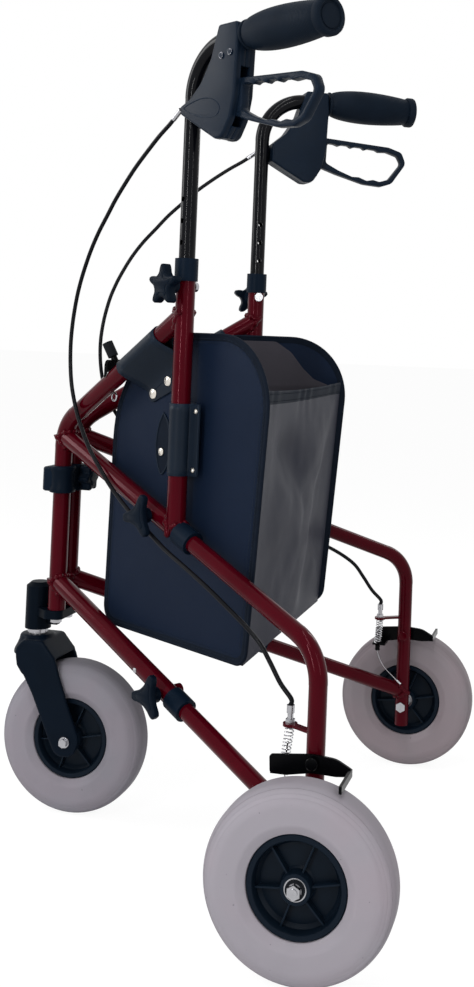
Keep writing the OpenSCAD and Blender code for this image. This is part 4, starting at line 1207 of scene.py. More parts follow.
@dataclass
class Knob:
    """A clamping knob with a lobed head, hub and screw."""

    side: Side
    node: str
    kind: KnobKind
    place: Flat
    turn: float
    thick: float
    back: float = 24.1
    hub_r: float = 9.0
    hub_base: float = 14.2
    bore: float = 3.1
    thread_r: Flat = (2.96, 2.6)
    points: int = 180

    def outline(self) -> list[Flat]:
        """The head's outline about its middle."""
        head = self.kind.value
        half = math.tau / head.lobes / 2.0
        raw: list[float] = []
        for angle in turns(self.points):
            off = (angle - math.radians(self.turn) + half) % (2.0 * half) - half
            hollow = half - abs(off)
            across = head.notch_away * math.sin(hollow)
            if across < head.notch_r:
                notch = head.notch_away * math.cos(hollow) - math.sqrt(head.notch_r**2 - across**2)
                raw.append(min(head.radius, notch))
            else:
                raw.append(head.radius)
        span = range(-3, 4)
        soft = [sum(raw[(k + d) % self.points] for d in span) / len(span) for k in range(self.points)]
        return [(r * math.cos(angle), r * math.sin(angle)) for r, angle in zip(soft, turns(self.points))]

    def build(self) -> None:
        """Make the knob and set it on its body."""
        axes = outboard(*self.place)
        kind, back, front = self.kind.value, self.back, self.back + self.thick
        head = self.outline()
        crown = [(x * 0.62, y * 0.62) for x, y in head]
        form = Form().prism(head, back, front, on_axes(axes), (1.4, kind.lip))
        form.prism(crown, front - 0.4, front + 0.5, on_axes(axes), (0.1, 0.4), steps=2)
        r, base = self.hub_r, self.hub_base
        hub = [(self.bore, base), (r - 1.2, base), (r - 0.3, 15.0), (r, back - 2.0), (r + 1.6, back)]
        form.lathe([*hub, (self.bore, back)], axes, 40)
        screw: list[Flat] = [(0.0, kind.screw_tip)]
        crest, root = self.thread_r
        for k in range(int(15.0 - kind.screw_tip)):
            screw += [(crest, kind.screw_tip + 0.15 + k), (root, kind.screw_tip + 0.65 + k)]
        screw += [(2.9, 15.5), (0.0, 15.5)]
        form.lathe(screw, axes, 20, closed=False)
        name = self.side.name_of(self.node)
        piece = form.build(name + "_grip", LAYOUT.side_frame(self.side), Finishes.plastic, 36.0)
        stand_in(piece, name, name + "_body")


@dataclass
class BrakeLine:
    """A brake cable with its return spring."""

    side: Side
    diameter: float = 5.0
    spring_wire: float = 1.2
    spring_d: float = 9.0
    spring_turns: int = 10
    ferrule: Place = (230.5, -14.5, 866.4)
    ferrule_way: Place = (-0.81, 0.0, -0.59)
    ferrule_length: float = 13.0
    bracket_s: float = 437.0
    bracket_z: float = 218.0
    adjuster_h: float = 21.0
    bow_top: Place = (130.0, -15.0, 850.0)
    bow_foot: Place = (130.0, -15.0, 545.0)
    spring_foot: Place = (-15.0, -35.5, 183.4)
    route: tuple[Place, ...] = (
        (194.3, -15, 841.5), (171.7, -15, 825), (150.7, -15.5, 808), (132.3, -16, 790.5), (113.6, -16, 772),
        (97.8, -16, 753.6), (80.7, -16, 733.5), (67, -16, 714), (56, -16, 694.5), (46.5, -16, 674.5),
        (38.5, -16, 652), (32, -16, 622), (29.5, -16, 592), (32, -16, 560), (39, -16, 533), (54.3, -16, 502),
        (78.9, -17, 471), (102.6, -17, 449), (130.3, -17, 426.5), (165.4, -17, 404.5), (190, -17, 392),
        (215.2, -17, 380), (243.5, -17, 366.7), (281.8, -17, 352.5), (318.8, -17, 338), (353.4, -16, 322),
        (378.9, -14, 308.6), (399.2, -11, 294), (412.1, -7.5, 276.8), (424.5, -4, 258.5))

    def path(self) -> list[Vector]:
        """The cable's middle line in the side frame."""
        way = Vector(self.ferrule_way).normalized()
        start = [Vector(self.ferrule) + way * (self.ferrule_length + d) for d in (0.1, 9.0)]
        end = [(self.bracket_s, 0.0, self.bracket_z + self.adjuster_h + h) for h in (6.0, 0.1)]
        return smooth_route([*start, *self.route, *end], 8)

    def build(self) -> None:
        """Make the cable and the spring."""
        place = LAYOUT.side_frame(self.side)
        path = self.path()
        name = self.side.name_of("brake_cable")
        cable = Form().sweep(path, self.diameter / 2.0, 12).build(name + "_sleeve", place, Finishes.cable)
        world = [place @ p for p in path]
        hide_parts(name)
        self.side.name_of("handle")
        self.side.name_of("frame")
        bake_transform(cable)
        length = sum((b - a).length for a, b in zip(world, world[1:]))
        LOG.info("%s is %.3f m long", name, length)
        self.build_spring()

    def build_spring(self) -> None:
        """Make the return spring between the cable bracket and the brake plate."""
        top = LAYOUT.behind(self.bracket_s, self.bracket_z - 0.4)
        foot = LAYOUT.behind(LAYOUT.leg_s) + Vector(self.spring_foot)
        way = (top - foot).normalized()
        length = (top - foot).length
        across = way.cross(Vector((0.0, 1.0, 0.0))).normalized()
        depth = way.cross(across)
        radius, wire, per_turn = self.spring_d / 2.0, self.spring_wire, 20
        path: list[Vector] = []
        for k in range(self.spring_turns * per_turn + 1):
            share = k / (self.spring_turns * per_turn)
            turn = math.tau * k / per_turn
            lift = wire * 0.5 + share * (length - wire)
            path.append(foot + radius * (math.cos(turn) * across + math.sin(turn) * depth) + way * lift)
        place = self.side.mirrored(LAYOUT.head())
        name = self.side.name_of("brake_spring")
        spring = Form().sweep(path, wire / 2.0, 8).build(name + "_coil", place, Finishes.spring_steel)
        stand_in(spring, name, self.side.name_of("frame"))
        self.side.name_of("brake_pivot")
        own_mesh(spring)


@dataclass
class BagPanel:
    """A stiff side panel of the bag with binding, straps, snaps and lining."""

    side: Side
    outline: tuple[Corner, ...] = ((76, 252, 22), (84, 612, 135), (370, 612, 80), (342, 252, 18))
    lined: tuple[Corner, ...] = (
        (86, 260, 14), (93, 606, 128), (262, 606, 14), (284, 592, 20), (302, 570, 20), (318, 556, 10),
        (340, 548, 6), (333, 260, 12))
    tab: tuple[Corner, ...] = ((146, 552, 6), (157, 526, 8), (201, 545, 8), (206, 572, 4), (188, 592, 4))
    slot: tuple[Flat, ...] = (
        (183, 517), (175, 502), (171, 480), (174, 460), (183, 445), (194, 458), (197, 480), (193, 504))
    sleeve_z: Flat = (450.0, 532.0)
    flap_s: Flat = (126.0, 196.0)
    strap_t: float = 1.2
    strap_gap: float = 0.95
    stitch: float = 2.6
    stitch_pitch: float = 4.2
    stitch_rows: tuple[Flat, ...] = ((5.0, 0.45), (9.5, 1.0))
    crown: float = 1.1
    ripple: float = 0.9
    binding_r: float = 2.1
    pieces: list[bpy.types.Object] = field(default_factory=list)

    def add(self, form: Form, name: str, finish: Finish, sharp: float = SHARP) -> bpy.types.Object:
        """Make one piece of the panel.

        Args:
            form: Its form in the side frame.
            name: Its name without the side.
            finish: Its finish.
            sharp: Edges that bend more than this many degrees stay sharp.
        Returns:
            The object.
        """
        piece = form.build(self.side.name_of(name), LAYOUT.side_frame(self.side), finish, sharp)
        self.pieces.append(piece)
        return piece

    def build(self) -> None:
        """Make the panel and everything that is sewn or riveted to it."""
        face, back = LAYOUT.panel_y, LAYOUT.panel_y + LAYOUT.panel_t
        edge = rounded(self.outline, 18)
        board = self.add(self.board(edge, face, back), "bag_panel_board", Finishes.panel(self.side), 60.0)
        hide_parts(self.side.name_of("bag_panel"))
        binding = Form()
        middle = (face + back) / 2.0
        binding.sweep([Vector((s, middle, z)) for s, z in inset(edge, 0.6)], self.binding_r, 10, loop=True)
        for y, out in ((face - 0.25, -1.0), (back + 0.25, 1.0)):
            binding.sheet([
                [Vector((s, y - out * sink, z)) for s, z in looped(inset(edge, by))]
                for by, sink in ((1.2, 0.0), (6.5, 0.12), (7.6, 0.5))])
        self.add(binding, "bag_binding", Finishes.binding, 60.0)
        self.add(self.stitches(edge, face), "bag_stitches", Finishes.thread)
        lining = Form().prism(
            rounded(self.lined, 12), -back - 0.45, -back + 0.3, in_side_plane, (0.3, 0.1), steps=2)
        self.add(lining, "bag_lining", Finishes.lining(self.side), 60.0)
        self.add_sleeve()
        self.add_flap()
        self.add_tab()
        for piece in self.pieces:
            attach(piece, self.side.name_of("frame"))

    def board(self, edge: Sequence[Flat], face: float, back: float) -> Form:
        """The padded board: a crowned outboard face, its edge and a flat back."""
        form = Form()
        rows: list[list[int]] = []
        steps = 14
        middle = Vector((sum(p[0] for p in edge) / len(edge), sum(p[1] for p in edge) / len(edge)))
        for k in range(steps + 1):
            share = k / steps
            crown = self.crown * (1.0 - (1.0 - share) ** 3)
            row = []
            for s, z in edge:
                flat = Vector((s, z)).lerp(middle, share * 0.985)
                ripple = noise.noise(Vector((flat.x * 0.012, flat.y * 0.009, 3.7))) * self.ripple
                wave = ripple * min(1.0, share * 4.0)
                row.append((flat.x, face - crown - wave + (0.9 if k == 0 else 0.0), flat.y))
            rows.append(form.ring(row))
        rim = form.ring((s, back - 0.4, z) for s, z in edge)
        form.skin(rim, rows[0])
        for first, second in zip(rows, rows[1:]):
            form.skin(first, second)
        form.lid(rows[-1])
        form.lid(rim[::-1])
        return form

    def stitches(self, edge: Sequence[Flat], face: float) -> Form:
        """Rows of short stitches along the binding."""
        form = Form()
        for by, lift in self.stitch_rows:
            y = face - lift
            line = inset(edge, by)
            run = 0.0
            for a, b in zip(line, looped(line)[1:]):
                start, end = Vector((a[0], y, a[1])), Vector((b[0], y, b[1]))
                span = (end - start).length
                if span < 1e-6:
                    continue
                way = (end - start) / span
                at = (-run) % self.stitch_pitch
                while at + self.stitch < span or (span < 6.0 and at < span):
                    first = start + way * at
                    last = start + way * min(at + self.stitch, span)
                    form.sweep([first, first.lerp(last, 0.5) + Vector((0.0, -0.22, 0.0)), last], THREAD_R, 5)
                    at += self.stitch_pitch
                run += span
        return form

    def add_sleeve(self) -> None:
        """The sleeve round the post and the tongue that lies under its seam."""
        face = LAYOUT.panel_y
        wrap_r = LAYOUT.tube_r + self.strap_gap
        arc = [(wrap_r * math.cos(a), wrap_r * math.sin(a)) for a in map(math.radians, range(20, -205, -12))]
        section = [(25.0, 7.0), (20.0, 6.4), (15.2, 5.7), *arc]
        section += [(-13.6, 8.5), (-17.0, face - 5.0), (-24.0, face - 1.6), (-38.0, face - 1.0)]
        tongue = [(25.0, 8.4), (20.0, 8.0), (15.5, 9.6), (10.0, 14.4), (4.0, face - 1.8), (-8.0, face - 1.0)]
        low, high = self.sleeve_z
        sleeve = Form()
        for line, flare in ((section, 0.25), (tongue, 0.0)):
            curve = smooth_route([(s + LAYOUT.post_s, y, 0.0) for s, y in line], 4)
            rows = []
            for k in range(11):
                z = low + (high - low) * k / 10.0
                hem = flare if z in self.sleeve_z else 0.0
                rows.append([Vector((p.x, p.y - hem, z)) for p in curve])
            sleeve.sheet(rows)
        thicken(self.add(sleeve, "bag_post_sleeve", Finishes.strap, 50.0), self.strap_t)

    def add_flap(self) -> None:
        """The flap over the diagonal tube."""
        face = LAYOUT.panel_y
        wrap_r = LAYOUT.tube_r + self.strap_gap
        tilt = math.radians(LAYOUT.diagonal_angle)
        along = Vector((math.cos(tilt), 0.0, math.sin(tilt)))
        across = Vector((-math.sin(tilt), 0.0, math.cos(tilt)))
        arc = [(wrap_r * math.sin(a), -wrap_r * math.cos(a)) for a in map(math.radians, range(-32, 150, 14))]
        section = [(-40.0, face - 2.6), (-32.0, face - 4.2), (-22.0, 6.5), *arc]
        section += [(-9.0, 14.8), (-15.0, face - 2.2)]
        fold = smooth_route([(q, y, 0.0) for q, y in section], 4)
        first, last = self.flap_s
        length = (last - first) / math.cos(tilt)
        start = Vector((first, 0.0, LAYOUT.diagonal(first)))
        rows = []
        for k in range(9):
            shift = start + along * (length * (k / 8.0))
            rows.append([
                shift + across * p.x + Vector((0.0, p.y, 0.0)) + along * (-0.35 * min(0.0, p.x + 12.0))
                for p in fold])
        thicken(self.add(Form().sheet(rows), "bag_diagonal_flap", Finishes.strap, 50.0), self.strap_t)

    def add_tab(self) -> None:
        """The tab, the rimmed slot below it with a flat dark sheet in its opening as painted shade, and the
        snaps.
        """
        face = LAYOUT.panel_y
        patch = Form().prism(rounded(self.tab), 1.0 - face, 2.8 - face, in_side_plane, (0.2, 0.8))
        rim = smooth_route([(s, face - 1.7, z) for s, z in looped(self.slot)], 6)[:-1]
        patch.sweep(rim, 1.1, 8, loop=True)
        self.add(patch, "bag_tab", Finishes.strap, 40.0)
        # A flat dark sheet closes the slot's rim: painted shade for the opening.
        hole = Form()
        hole.lid(hole.ring(rim))
        self.add(hole, "bag_slot", Finishes.binding)
        snaps = Form()
        for s, z, y, r in (
            (257.5, 523.8, 6.0, 3.2), (256.0, 457.0, 6.0, 3.2), (182.0, 471.0, face - 1.9, 4.8),
            (162.5, 538.5, face - 2.8, 6.2), (190.0, 555.0, face - 2.8, 6.0),
        ):
            snaps.dome(outboard(s, z, y), r, 2.2)
        self.add(snaps, "bag_snaps", Finishes.nickel, 40.0)


@dataclass
class BagCloth:
    """The grey cloth between the panels: front, floor and back, with a hem."""

    base_z: float = 252.0
    hem_z: float = 552.0
    front_top_z: float = 470.0
    front_y: float = 82.5
    back_base_y: float = 297.2
    back_hem_y: float = 316.0
    columns: int = 26
    rows: int = 44
    clearance: float = 0.6
    cloth_t: float = 0.9
    ridge_lift: float = 14.0
    dent_depth: float = 9.0
    swell_lift: float = 6.0
    fan_lift: float = 2.4
    crumple_lift: float = 3.4
    slack: float = 6.0
    hem_in: float = 3.0
    hem_drop: float = 3.5
    gather: float = 0.9
    floor_dip: float = 1.75
    front_wave: float = 2.2
    back_cut: float = 0.3
    floor_cut: float = 0.34

    def half_width(self, y: float) -> float:
        """Half the cloth's width at y behind the columns."""
        return LAYOUT.inside_half_width(y) - self.clearance

    def folds(self, t: float, inside: float) -> float:
        """How far the back wall's folds stand out.

        Args:
            t: From -1 at the right panel to 1 at the left one.
            inside: From 0 at the floor to 1 at the hem.
        Returns:
            The distance backwards.
        """
        off = t + 0.12 + 0.80 * inside**2.6
        rise = math.sin(math.pi * min(1.0, inside + 0.06)) ** 0.5
        ridge = math.exp(-((off / (0.6 if off > 0.0 else 0.2)) ** 2)) * rise
        dent = math.exp(-(((t - 0.3) / 0.34) ** 2) - ((inside - 0.68 - 0.2 * t) / 0.1) ** 2)
        swell = math.exp(-(((t - 0.42) / 0.4) ** 2) - ((inside - 0.46) / 0.16) ** 2)
        corner = math.atan2(inside + 0.04, t + 1.12)
        fan = math.sin(15.0 * corner) * math.exp(-((t + 1.0) ** 2) / 0.7 - inside**2 / 0.12)
        free = math.sin(math.pi * inside) ** 0.7 * (1.0 - t * t)
        crumple = noise.fractal(Vector((t * 2.6, inside * 4.6, 1.9)), 1.0, 2.1, 5) * self.crumple_lift * free
        folds = self.ridge_lift * ridge * (1.0 - t**4) - self.dent_depth * dent + self.swell_lift * swell
        return folds + self.fan_lift * fan * (1.0 - t * t) + crumple - self.slack * free

    def back_point(self, t: float, v: float, proud: float = 0.0) -> Vector:
        """A point of the back wall.

        Args:
            t: From -1 at the right panel to 1 at the left one.
            v: From 0 at the floor to 1 at the hem.
            proud: Distance off the cloth, backwards.
        Returns:
            The point at the columns' axes.
        """
        y = self.back_base_y + (self.back_hem_y - self.back_base_y) * v
        x = t * self.half_width(y)
        inside = min(1.0, max(0.0, v))
        sag = -self.hem_in * (1.0 - t * t) * v**6
        gather = self.gather * math.sin(23.0 * t + 3.0 * math.sin(7.0 * t)) * (1.0 - t**6) * inside**12
        z = self.base_z + (self.hem_z - self.base_z) * v - self.hem_drop * (1.0 - t * t) * v**8
        return Vector((x, y + self.folds(t, inside) * min(1.0, 6.0 * inside) + sag + gather + proud, z))

    def measured(self, cloth: bpy.types.Object, name: str) -> float:
        """Give a sheet its thickness and measure it.

        Args:
            cloth: The sheet.
            name: What the log calls it.
        Returns:
            Its flat area in square metres.
        """
        thicken(cloth, self.cloth_t, rim=False)
        area = sum(face.area for face in cloth.data.polygons)
        LOG.info("%s of %.3f square metres", name, area)
        return area

    def back(self, side: Side) -> None:
        """Make half of the back wall, from the middle to one panel, with its hem.

        Args:
            side: The panel's side.
        """
        place = LAYOUT.head()
        way = side.sign
        grid = [way * k / self.columns for k in range(-1, self.columns + 1)]
        rows = [[self.back_point(t, r / self.rows) for t in grid] for r in range(self.rows + 1)]
        cloth = Form().sheet(rows).build(side.name_of("bag_back"), place, Finishes.gusset, 60.0)
        hem = self.hem(way).build(side.name_of("bag_hem"), place, Finishes.binding, 50.0)
        edge = Vector((way * self.half_width(self.back_base_y), self.back_base_y, 400.0))
        for piece in (cloth, hem):
            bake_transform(piece)
        area = self.measured(cloth, "half of the bag's back wall")

    def build(self) -> None:
        """Make the front and the floor, and both halves of the back wall."""
        place = LAYOUT.head()
        form = Form()
        grid = [2.0 * k / 48 - 1.0 for k in range(49)]
        floor: list[list[Vector]] = []
        for k in range(13):
            share = k / 12.0
            y = self.front_y + (self.back_base_y - self.front_y) * share
            half = self.half_width(y)
            dip = self.floor_dip * math.sin(math.pi * share)
            floor.append([Vector((t * half, y, self.base_z + dip * (t * t - 1.0))) for t in grid])
        form.sheet(floor)
        front: list[list[Vector]] = []
        half = self.half_width(self.front_y)
        for k in range(17):
            share = k / 16.0
            z = self.base_z + (self.front_top_z - self.base_z) * share
            wave = self.front_wave * math.sin(math.pi * share)
            front.append([
                Vector((t * half, self.front_y + wave * math.sin(5.0 * t + 4.0 * share), z)) for t in grid])
        form.sheet(front)
        cloth = form.build("bag_cloth", place, Finishes.gusset, 60.0)
        stand_in(cloth, "bag_gusset", "head")
        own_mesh(cloth)
        area = self.measured(cloth, "the bag's front and floor")
        for side in Side:
            self.back(side)

    def hem(self, way: float) -> Form:
        """Half of the folded tape on the back wall's upper edge.

        Args:
            way: 1 for the left half and -1 for the right one.
        Returns:
            The form.
        """
        form = Form()
        ts = [way * k / 36 for k in range(-1, 37)]
        rows = ((0.950, 0.55), (0.957, 1.0), (0.978, 1.15), (0.996, 1.0), (1.003, 0.0))
        for proud in (0.9, -0.9):
            form.sheet([[self.back_point(t, v, proud * lift) for t in ts] for v, lift in rows])
        for v in (0.961, 0.99):
            for k in range(48):
                ends = (way * k / 48, way * (k + 0.31) / 48, way * (k + 0.62) / 48)
                loop = [self.back_point(t, v, lift) for t, lift in zip(ends, (1.1, 1.45, 1.1))]
                form.sweep(loop, THREAD_R, 5)
        return form


@dataclass
class Welds:
    """Weld beads where the tubes of a side frame meet."""

    side: Side
    bead_r: float = 3.1
    ripple: Flat = (0.3, 0.22)

    def front_line(self) -> list[Vector]:
        """Middle line of the front tube round its bend."""
        turn = math.pi / 2.0 - math.radians(LAYOUT.diagonal_angle)
        bend_r = LAYOUT.apex_bend_r
        bend_z = LAYOUT.apex_z - bend_r * math.tan(turn / 2.0)
        line = [in_side_plane(0.0, z) for z in range(int(LAYOUT.column_base_z), int(bend_z), 3)]
        for k in range(25):
            a = turn * k / 24.0
            line.append(in_side_plane(bend_r * (1.0 - math.cos(a)), bend_z + bend_r * math.sin(a)))
        line += [in_side_plane(s, LAYOUT.diagonal(s)) for s in range(int(line[-1].x) + 3, 238, 4)]
        return line

    def bead(
        self, form: Form, foot: Vector, way: Vector, r: float, other: Sequence[Vector], seed: float
    ) -> None:
        """One bead round the mouth of a tube that ends on another of the same radius.

        Args:
            form: The form that takes it.
            foot: A point of the ending tube's axis inside the other tube.
            way: Its direction away from the other tube.
            r: The radius of both tubes.
            other: Middle line of the other tube.
            seed: Shifts the ripples.
        """
        u = way.orthogonal().normalized()
        v = way.cross(u)
        path: list[Vector] = []
        for angle in turns(64):
            start = foot + r * (math.cos(angle) * u + math.sin(angle) * v)
            low, high = -6.0, 60.0
            for _ in range(22):
                middle = (low + high) / 2.0
                point = start + way * middle
                if min((point - p).length_squared for p in other) < r**2:
                    low = middle
                else:
                    high = middle
            path.append(start + way * (high + 0.2))

        fine, coarse = self.ripple

        def rippled(i: int) -> float:
            """The bead's radius at a point of its path."""
            return self.bead_r * (1.0 + fine * math.sin(i * 1.3 + seed) + coarse * math.sin(i * 0.55 + seed))

        form.sweep(path, rippled, 8, loop=True)

    def build(self) -> None:
        """Make all beads of the side frame."""
        r, inner_r, post_s, leg_s = LAYOUT.tube_r, LAYOUT.inner_r, LAYOUT.post_s, LAYOUT.leg_s
        fall, rise = math.radians(LAYOUT.side_angle), math.radians(LAYOUT.diagonal_angle)
        rear = Vector((math.cos(fall), 0.0, -math.sin(fall)))
        forward = Vector((-math.cos(rise), 0.0, -math.sin(rise)))
        up = Vector((0.0, 0.0, 1.0))
        front = self.front_line()
        post = [in_side_plane(post_s, z) for z in range(386, 684, 2)]
        upper = [in_side_plane(s, LAYOUT.upper(s)) for s in range(200, 270)]
        leg = [in_side_plane(leg_s, z) for z in range(68, 200)]
        form = Form()
        for s, axis, way, tube_r, other, seed in (
            (4.0, LAYOUT.upper, rear, r, front, 0.3),
            (2.0, LAYOUT.lower, rear, r, front, 1.1),
            (post_s, LAYOUT.diagonal, forward, r, post, 2.2),
            (post_s, LAYOUT.upper, up, r, upper, 0.7),
            (leg_s, LAYOUT.lower, -rear, inner_r, leg, 1.7),
        ):
            self.bead(form, in_side_plane(s, axis(s)), way, tube_r, other, seed)
        name = self.side.name_of("weld_beads")
        piece = form.build(name, LAYOUT.side_frame(self.side), Finishes.frame_red, 70.0)
        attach(piece, self.side.name_of("frame"))


@dataclass
class SmallParts:
    """Rivets, guides, bolt caps and the cable's tail on a side frame."""

    side: Side
    pivot_z: float = 195.0
    rivet_s: float = 186.0
    guides: tuple[Place, ...] = ((92.0, -2.0, 562.0), (97.0, 6.0, 531.0))
    guide_r: float = 5.0
    tail: tuple[Place, ...] = (
        (-15.0, -35.5, 178.0), (-15.6, -34.0, 166.0), (-15.0, -25.0, 150.0), (-14.2, -10.0, 136.0),
        (-13.6, -3.0, 130.0))
    crimp: tuple[Flat, ...] = ((-5.0, 1.0), (-4.6, 1.5), (3.0, 1.5), (3.4, 1.0))

    def build(self) -> None:
        """Make the loose details of one side frame."""
        chrome = Form()
        rivet = outboard(self.rivet_s, LAYOUT.lower(self.rivet_s) - 2.0, 0.4 - LAYOUT.tube_r)
        chrome.dome(rivet, 3.0, 2.0)
        for s, y, z in self.guides:
            ring = [(s + self.guide_r * math.cos(a), y, z + self.guide_r * math.sin(a)) for a in turns(16)]
            chrome.sweep([Vector(p) for p in ring], 1.1, 8, loop=True)
        rivets = chrome.build(
            self.side.name_of("frame_rivets"), LAYOUT.side_frame(self.side), Finishes.zinc, 40.0)
        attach(rivets, self.side.name_of("frame"))
        self.bolt_cap("pivot_cap", 13.7, 0.0, Finishes.plate_black)
        self.bolt_cap("pivot_head", -9.4, 180.0, Finishes.frame_red)
        line = smooth_route(self.tail, 8)
        end = (line[-1] - line[-3]).normalized()
        wire = Form().sweep(line, 0.75, 8)
        wire.sweep([line[-1] + end * at for at, _ in self.crimp], lambda i: self.crimp[i][1], 10)
        tail = wire.build(self.side.name_of("cable_tail"), LAYOUT.leg(self.side), Finishes.spring_steel)
        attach(tail, self.side.name_of("plate"))

    def bolt_cap(self, name: str, x: float, turn: float, finish: Finish) -> None:
        """A round cap over one end of the brake plate's pivot bolt.

        Args:
            name: The piece's name without its side.
            x: Where its base lies across the leg.
            turn: 0 where it faces outboard and 180 where it faces inboard.
            finish: Its finish.
        """
        axes = crosswise((x, 0.0, self.pivot_z)) @ Matrix.Rotation(math.radians(turn), 4, "X")
        form = Form().lathe([(6.4, 0.0), (6.4, 3.6), (5.6, 4.4), (0.0, 4.9)], axes, 28, closed=False)
        piece = form.build(self.side.name_of(name), LAYOUT.leg(self.side), finish, 40.0)
        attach(piece, self.side.name_of("frame"))


@dataclass
class FrontEnd:
    """The caster fork, moulded in one piece, and the folding hinge."""

    stem_y: float = -32.5
    blade_x: Flat = (25.2, 32.0)
    axle_end: float = 38.0
    hinge_z: float = 420.5
    blade: tuple[Corner, ...] = (
        (-40, 214, 6), (-45, 205, 10), (-43, 190, 16), (-36, 174, 30), (-22, 150, 40), (5, 92, 20),
        (14, 75.5, 14), (37, 75.5, 14), (45, 98, 18), (27, 140, 40), (14, 174, 20), (8.5, 192, 12),
        (-6, 206, 10), (-14, 214, 4))
    shroud: tuple[Corner, ...] = (
        (-45, 184, 4), (-48, 204, 10), (-38, 216, 4), (-10, 216, 6), (0, 204, 8), (8.5, 194.6, 1.5),
        (0.9, 191.4, 0), (-12, 187.4, 0), (-23, 181.8, 0), (-37, 172.7, 2))
    crown: tuple[Flat, ...] = (
        (0.0, 219.5), (19.6, 219.5), (21.6, 217.6), (22.2, 213.0), (24.5, 207.0), (28.5, 199.0),
        (29.0, 194.0), (0.0, 194.0))
    nose: tuple[Flat, ...] = (
        (12.0, -6.0), (11.0, -20.0), (8.0, -23.0), (-8.0, -23.0), (-11.0, -20.0), (-12.0, -6.0))
    collar: tuple[Flat, ...] = ((1.6, 7.0), (0.2, 11.5), (0.0, 14.2), (0.6, 16.2), (2.4, 17.0))
    collar_bore: float = 11.3

    def build(self) -> None:
        """Make the fork, dark hexagonal discs painted as the shade inside its axle's sockets, and the hinge.
        """
        place = LAYOUT.head()
        fork = Form()
        near, far = self.blade_x
        for low, high in ((near, far), (-far, -near)):
            fork.prism(rounded(self.blade, 10), low, high, facing_x, (1.5, 1.5))
        fork.prism(rounded(self.shroud, 8), -far, far, facing_x, (2.0, 2.0))
        fork.lathe(self.crown, Matrix.Translation((0.0, self.stem_y, 0.0)), 64)
        piece = fork.moulded("caster_fork_moulded", place, Finishes.plastic, 1.3, 14)
        stand_in(piece, "caster_fork", "caster")
        # Thin dark hexagons on the axle's end faces are painted shade standing in for the hollow of each hex
        # socket.
        socket = Form()
        for turn in (1.0, -1.0):
            face = crosswise((turn * self.axle_end, LAYOUT.front_wheel_y, LAYOUT.wheel_r))
            deep = 0.2 * turn
            socket.lathe([(0.0, 0.05), (2.7, 0.05), (2.9, deep), (0.0, deep)], face, 6, closed=False)
        socket_shade_discs = socket.build("axle_socket_shade", place, Finishes.stem_plastic)
        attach(socket_shade_discs, "caster")
        block = self.hinge().build("hinge_block_moulded", place, Finishes.plastic, 36.0)
        stand_in(block, "hinge_block", "head")

    def hinge(self) -> Form:
        """The hinge block: two collars, a nose and a lobed cap."""
        hinge = Form()
        x0, z0, bore = LAYOUT.column_x, self.hinge_z, self.collar_bore
        for x, r in ((x0, 16.6), (-x0, 15.8)):
            upper = [(r - inwards, z) for inwards, z in self.collar] + [(bore, self.collar[-1][1])]
            ends = [(radius, -z) for radius, z in reversed(upper)] + upper
            hinge.lathe(ends, Matrix.Translation((x, 0.0, z0)), 64)
        hinge.prism([(x + x0, y) for x, y in self.nose], z0 - 15.5, z0 + 15.5, facing_z, (3.0, 3.0))
        lobes: list[Flat] = []
        for angle in turns(120):
            r = 15.6 + 2.2 * math.cos(6.0 * angle + 0.4)
            lobes.append((-x0 + r * math.cos(angle), z0 + r * math.sin(angle)))
        hinge.prism(lobes, 15.0, 29.0, facing_y, (0.5, 3.0))
        crown = [(x * 0.6 - 6.2, (z - z0) * 0.6 + z0) for x, z in lobes]
        hinge.prism(crown, 28.5, 30.4, facing_y, (0.1, 0.8))
        return hinge


@dataclass(frozen=True)
class Lamp:
    """A soft rectangular lamp, with lengths in metres and its power in watts."""

    name: str
    place: Place
    size: Flat
    power: float
    target: Place = (0.0, 0.0, 0.5)

    def build(self) -> None:
        """Hang the lamp so that it points at its target."""
        data = bpy.data.lights.new(self.name, "AREA")
        data.shape = "RECTANGLE"
        data.size, data.size_y = self.size
        data.energy = self.power
        lamp = bpy.data.objects.new(self.name, data)
        way = Vector(self.target) - Vector(self.place)
        turn = way.to_track_quat("-Z", "Y").to_matrix().to_4x4()
        lamp.matrix_world = Matrix.Translation(self.place) @ turn
        bpy.context.scene.collection.objects.link(lamp)


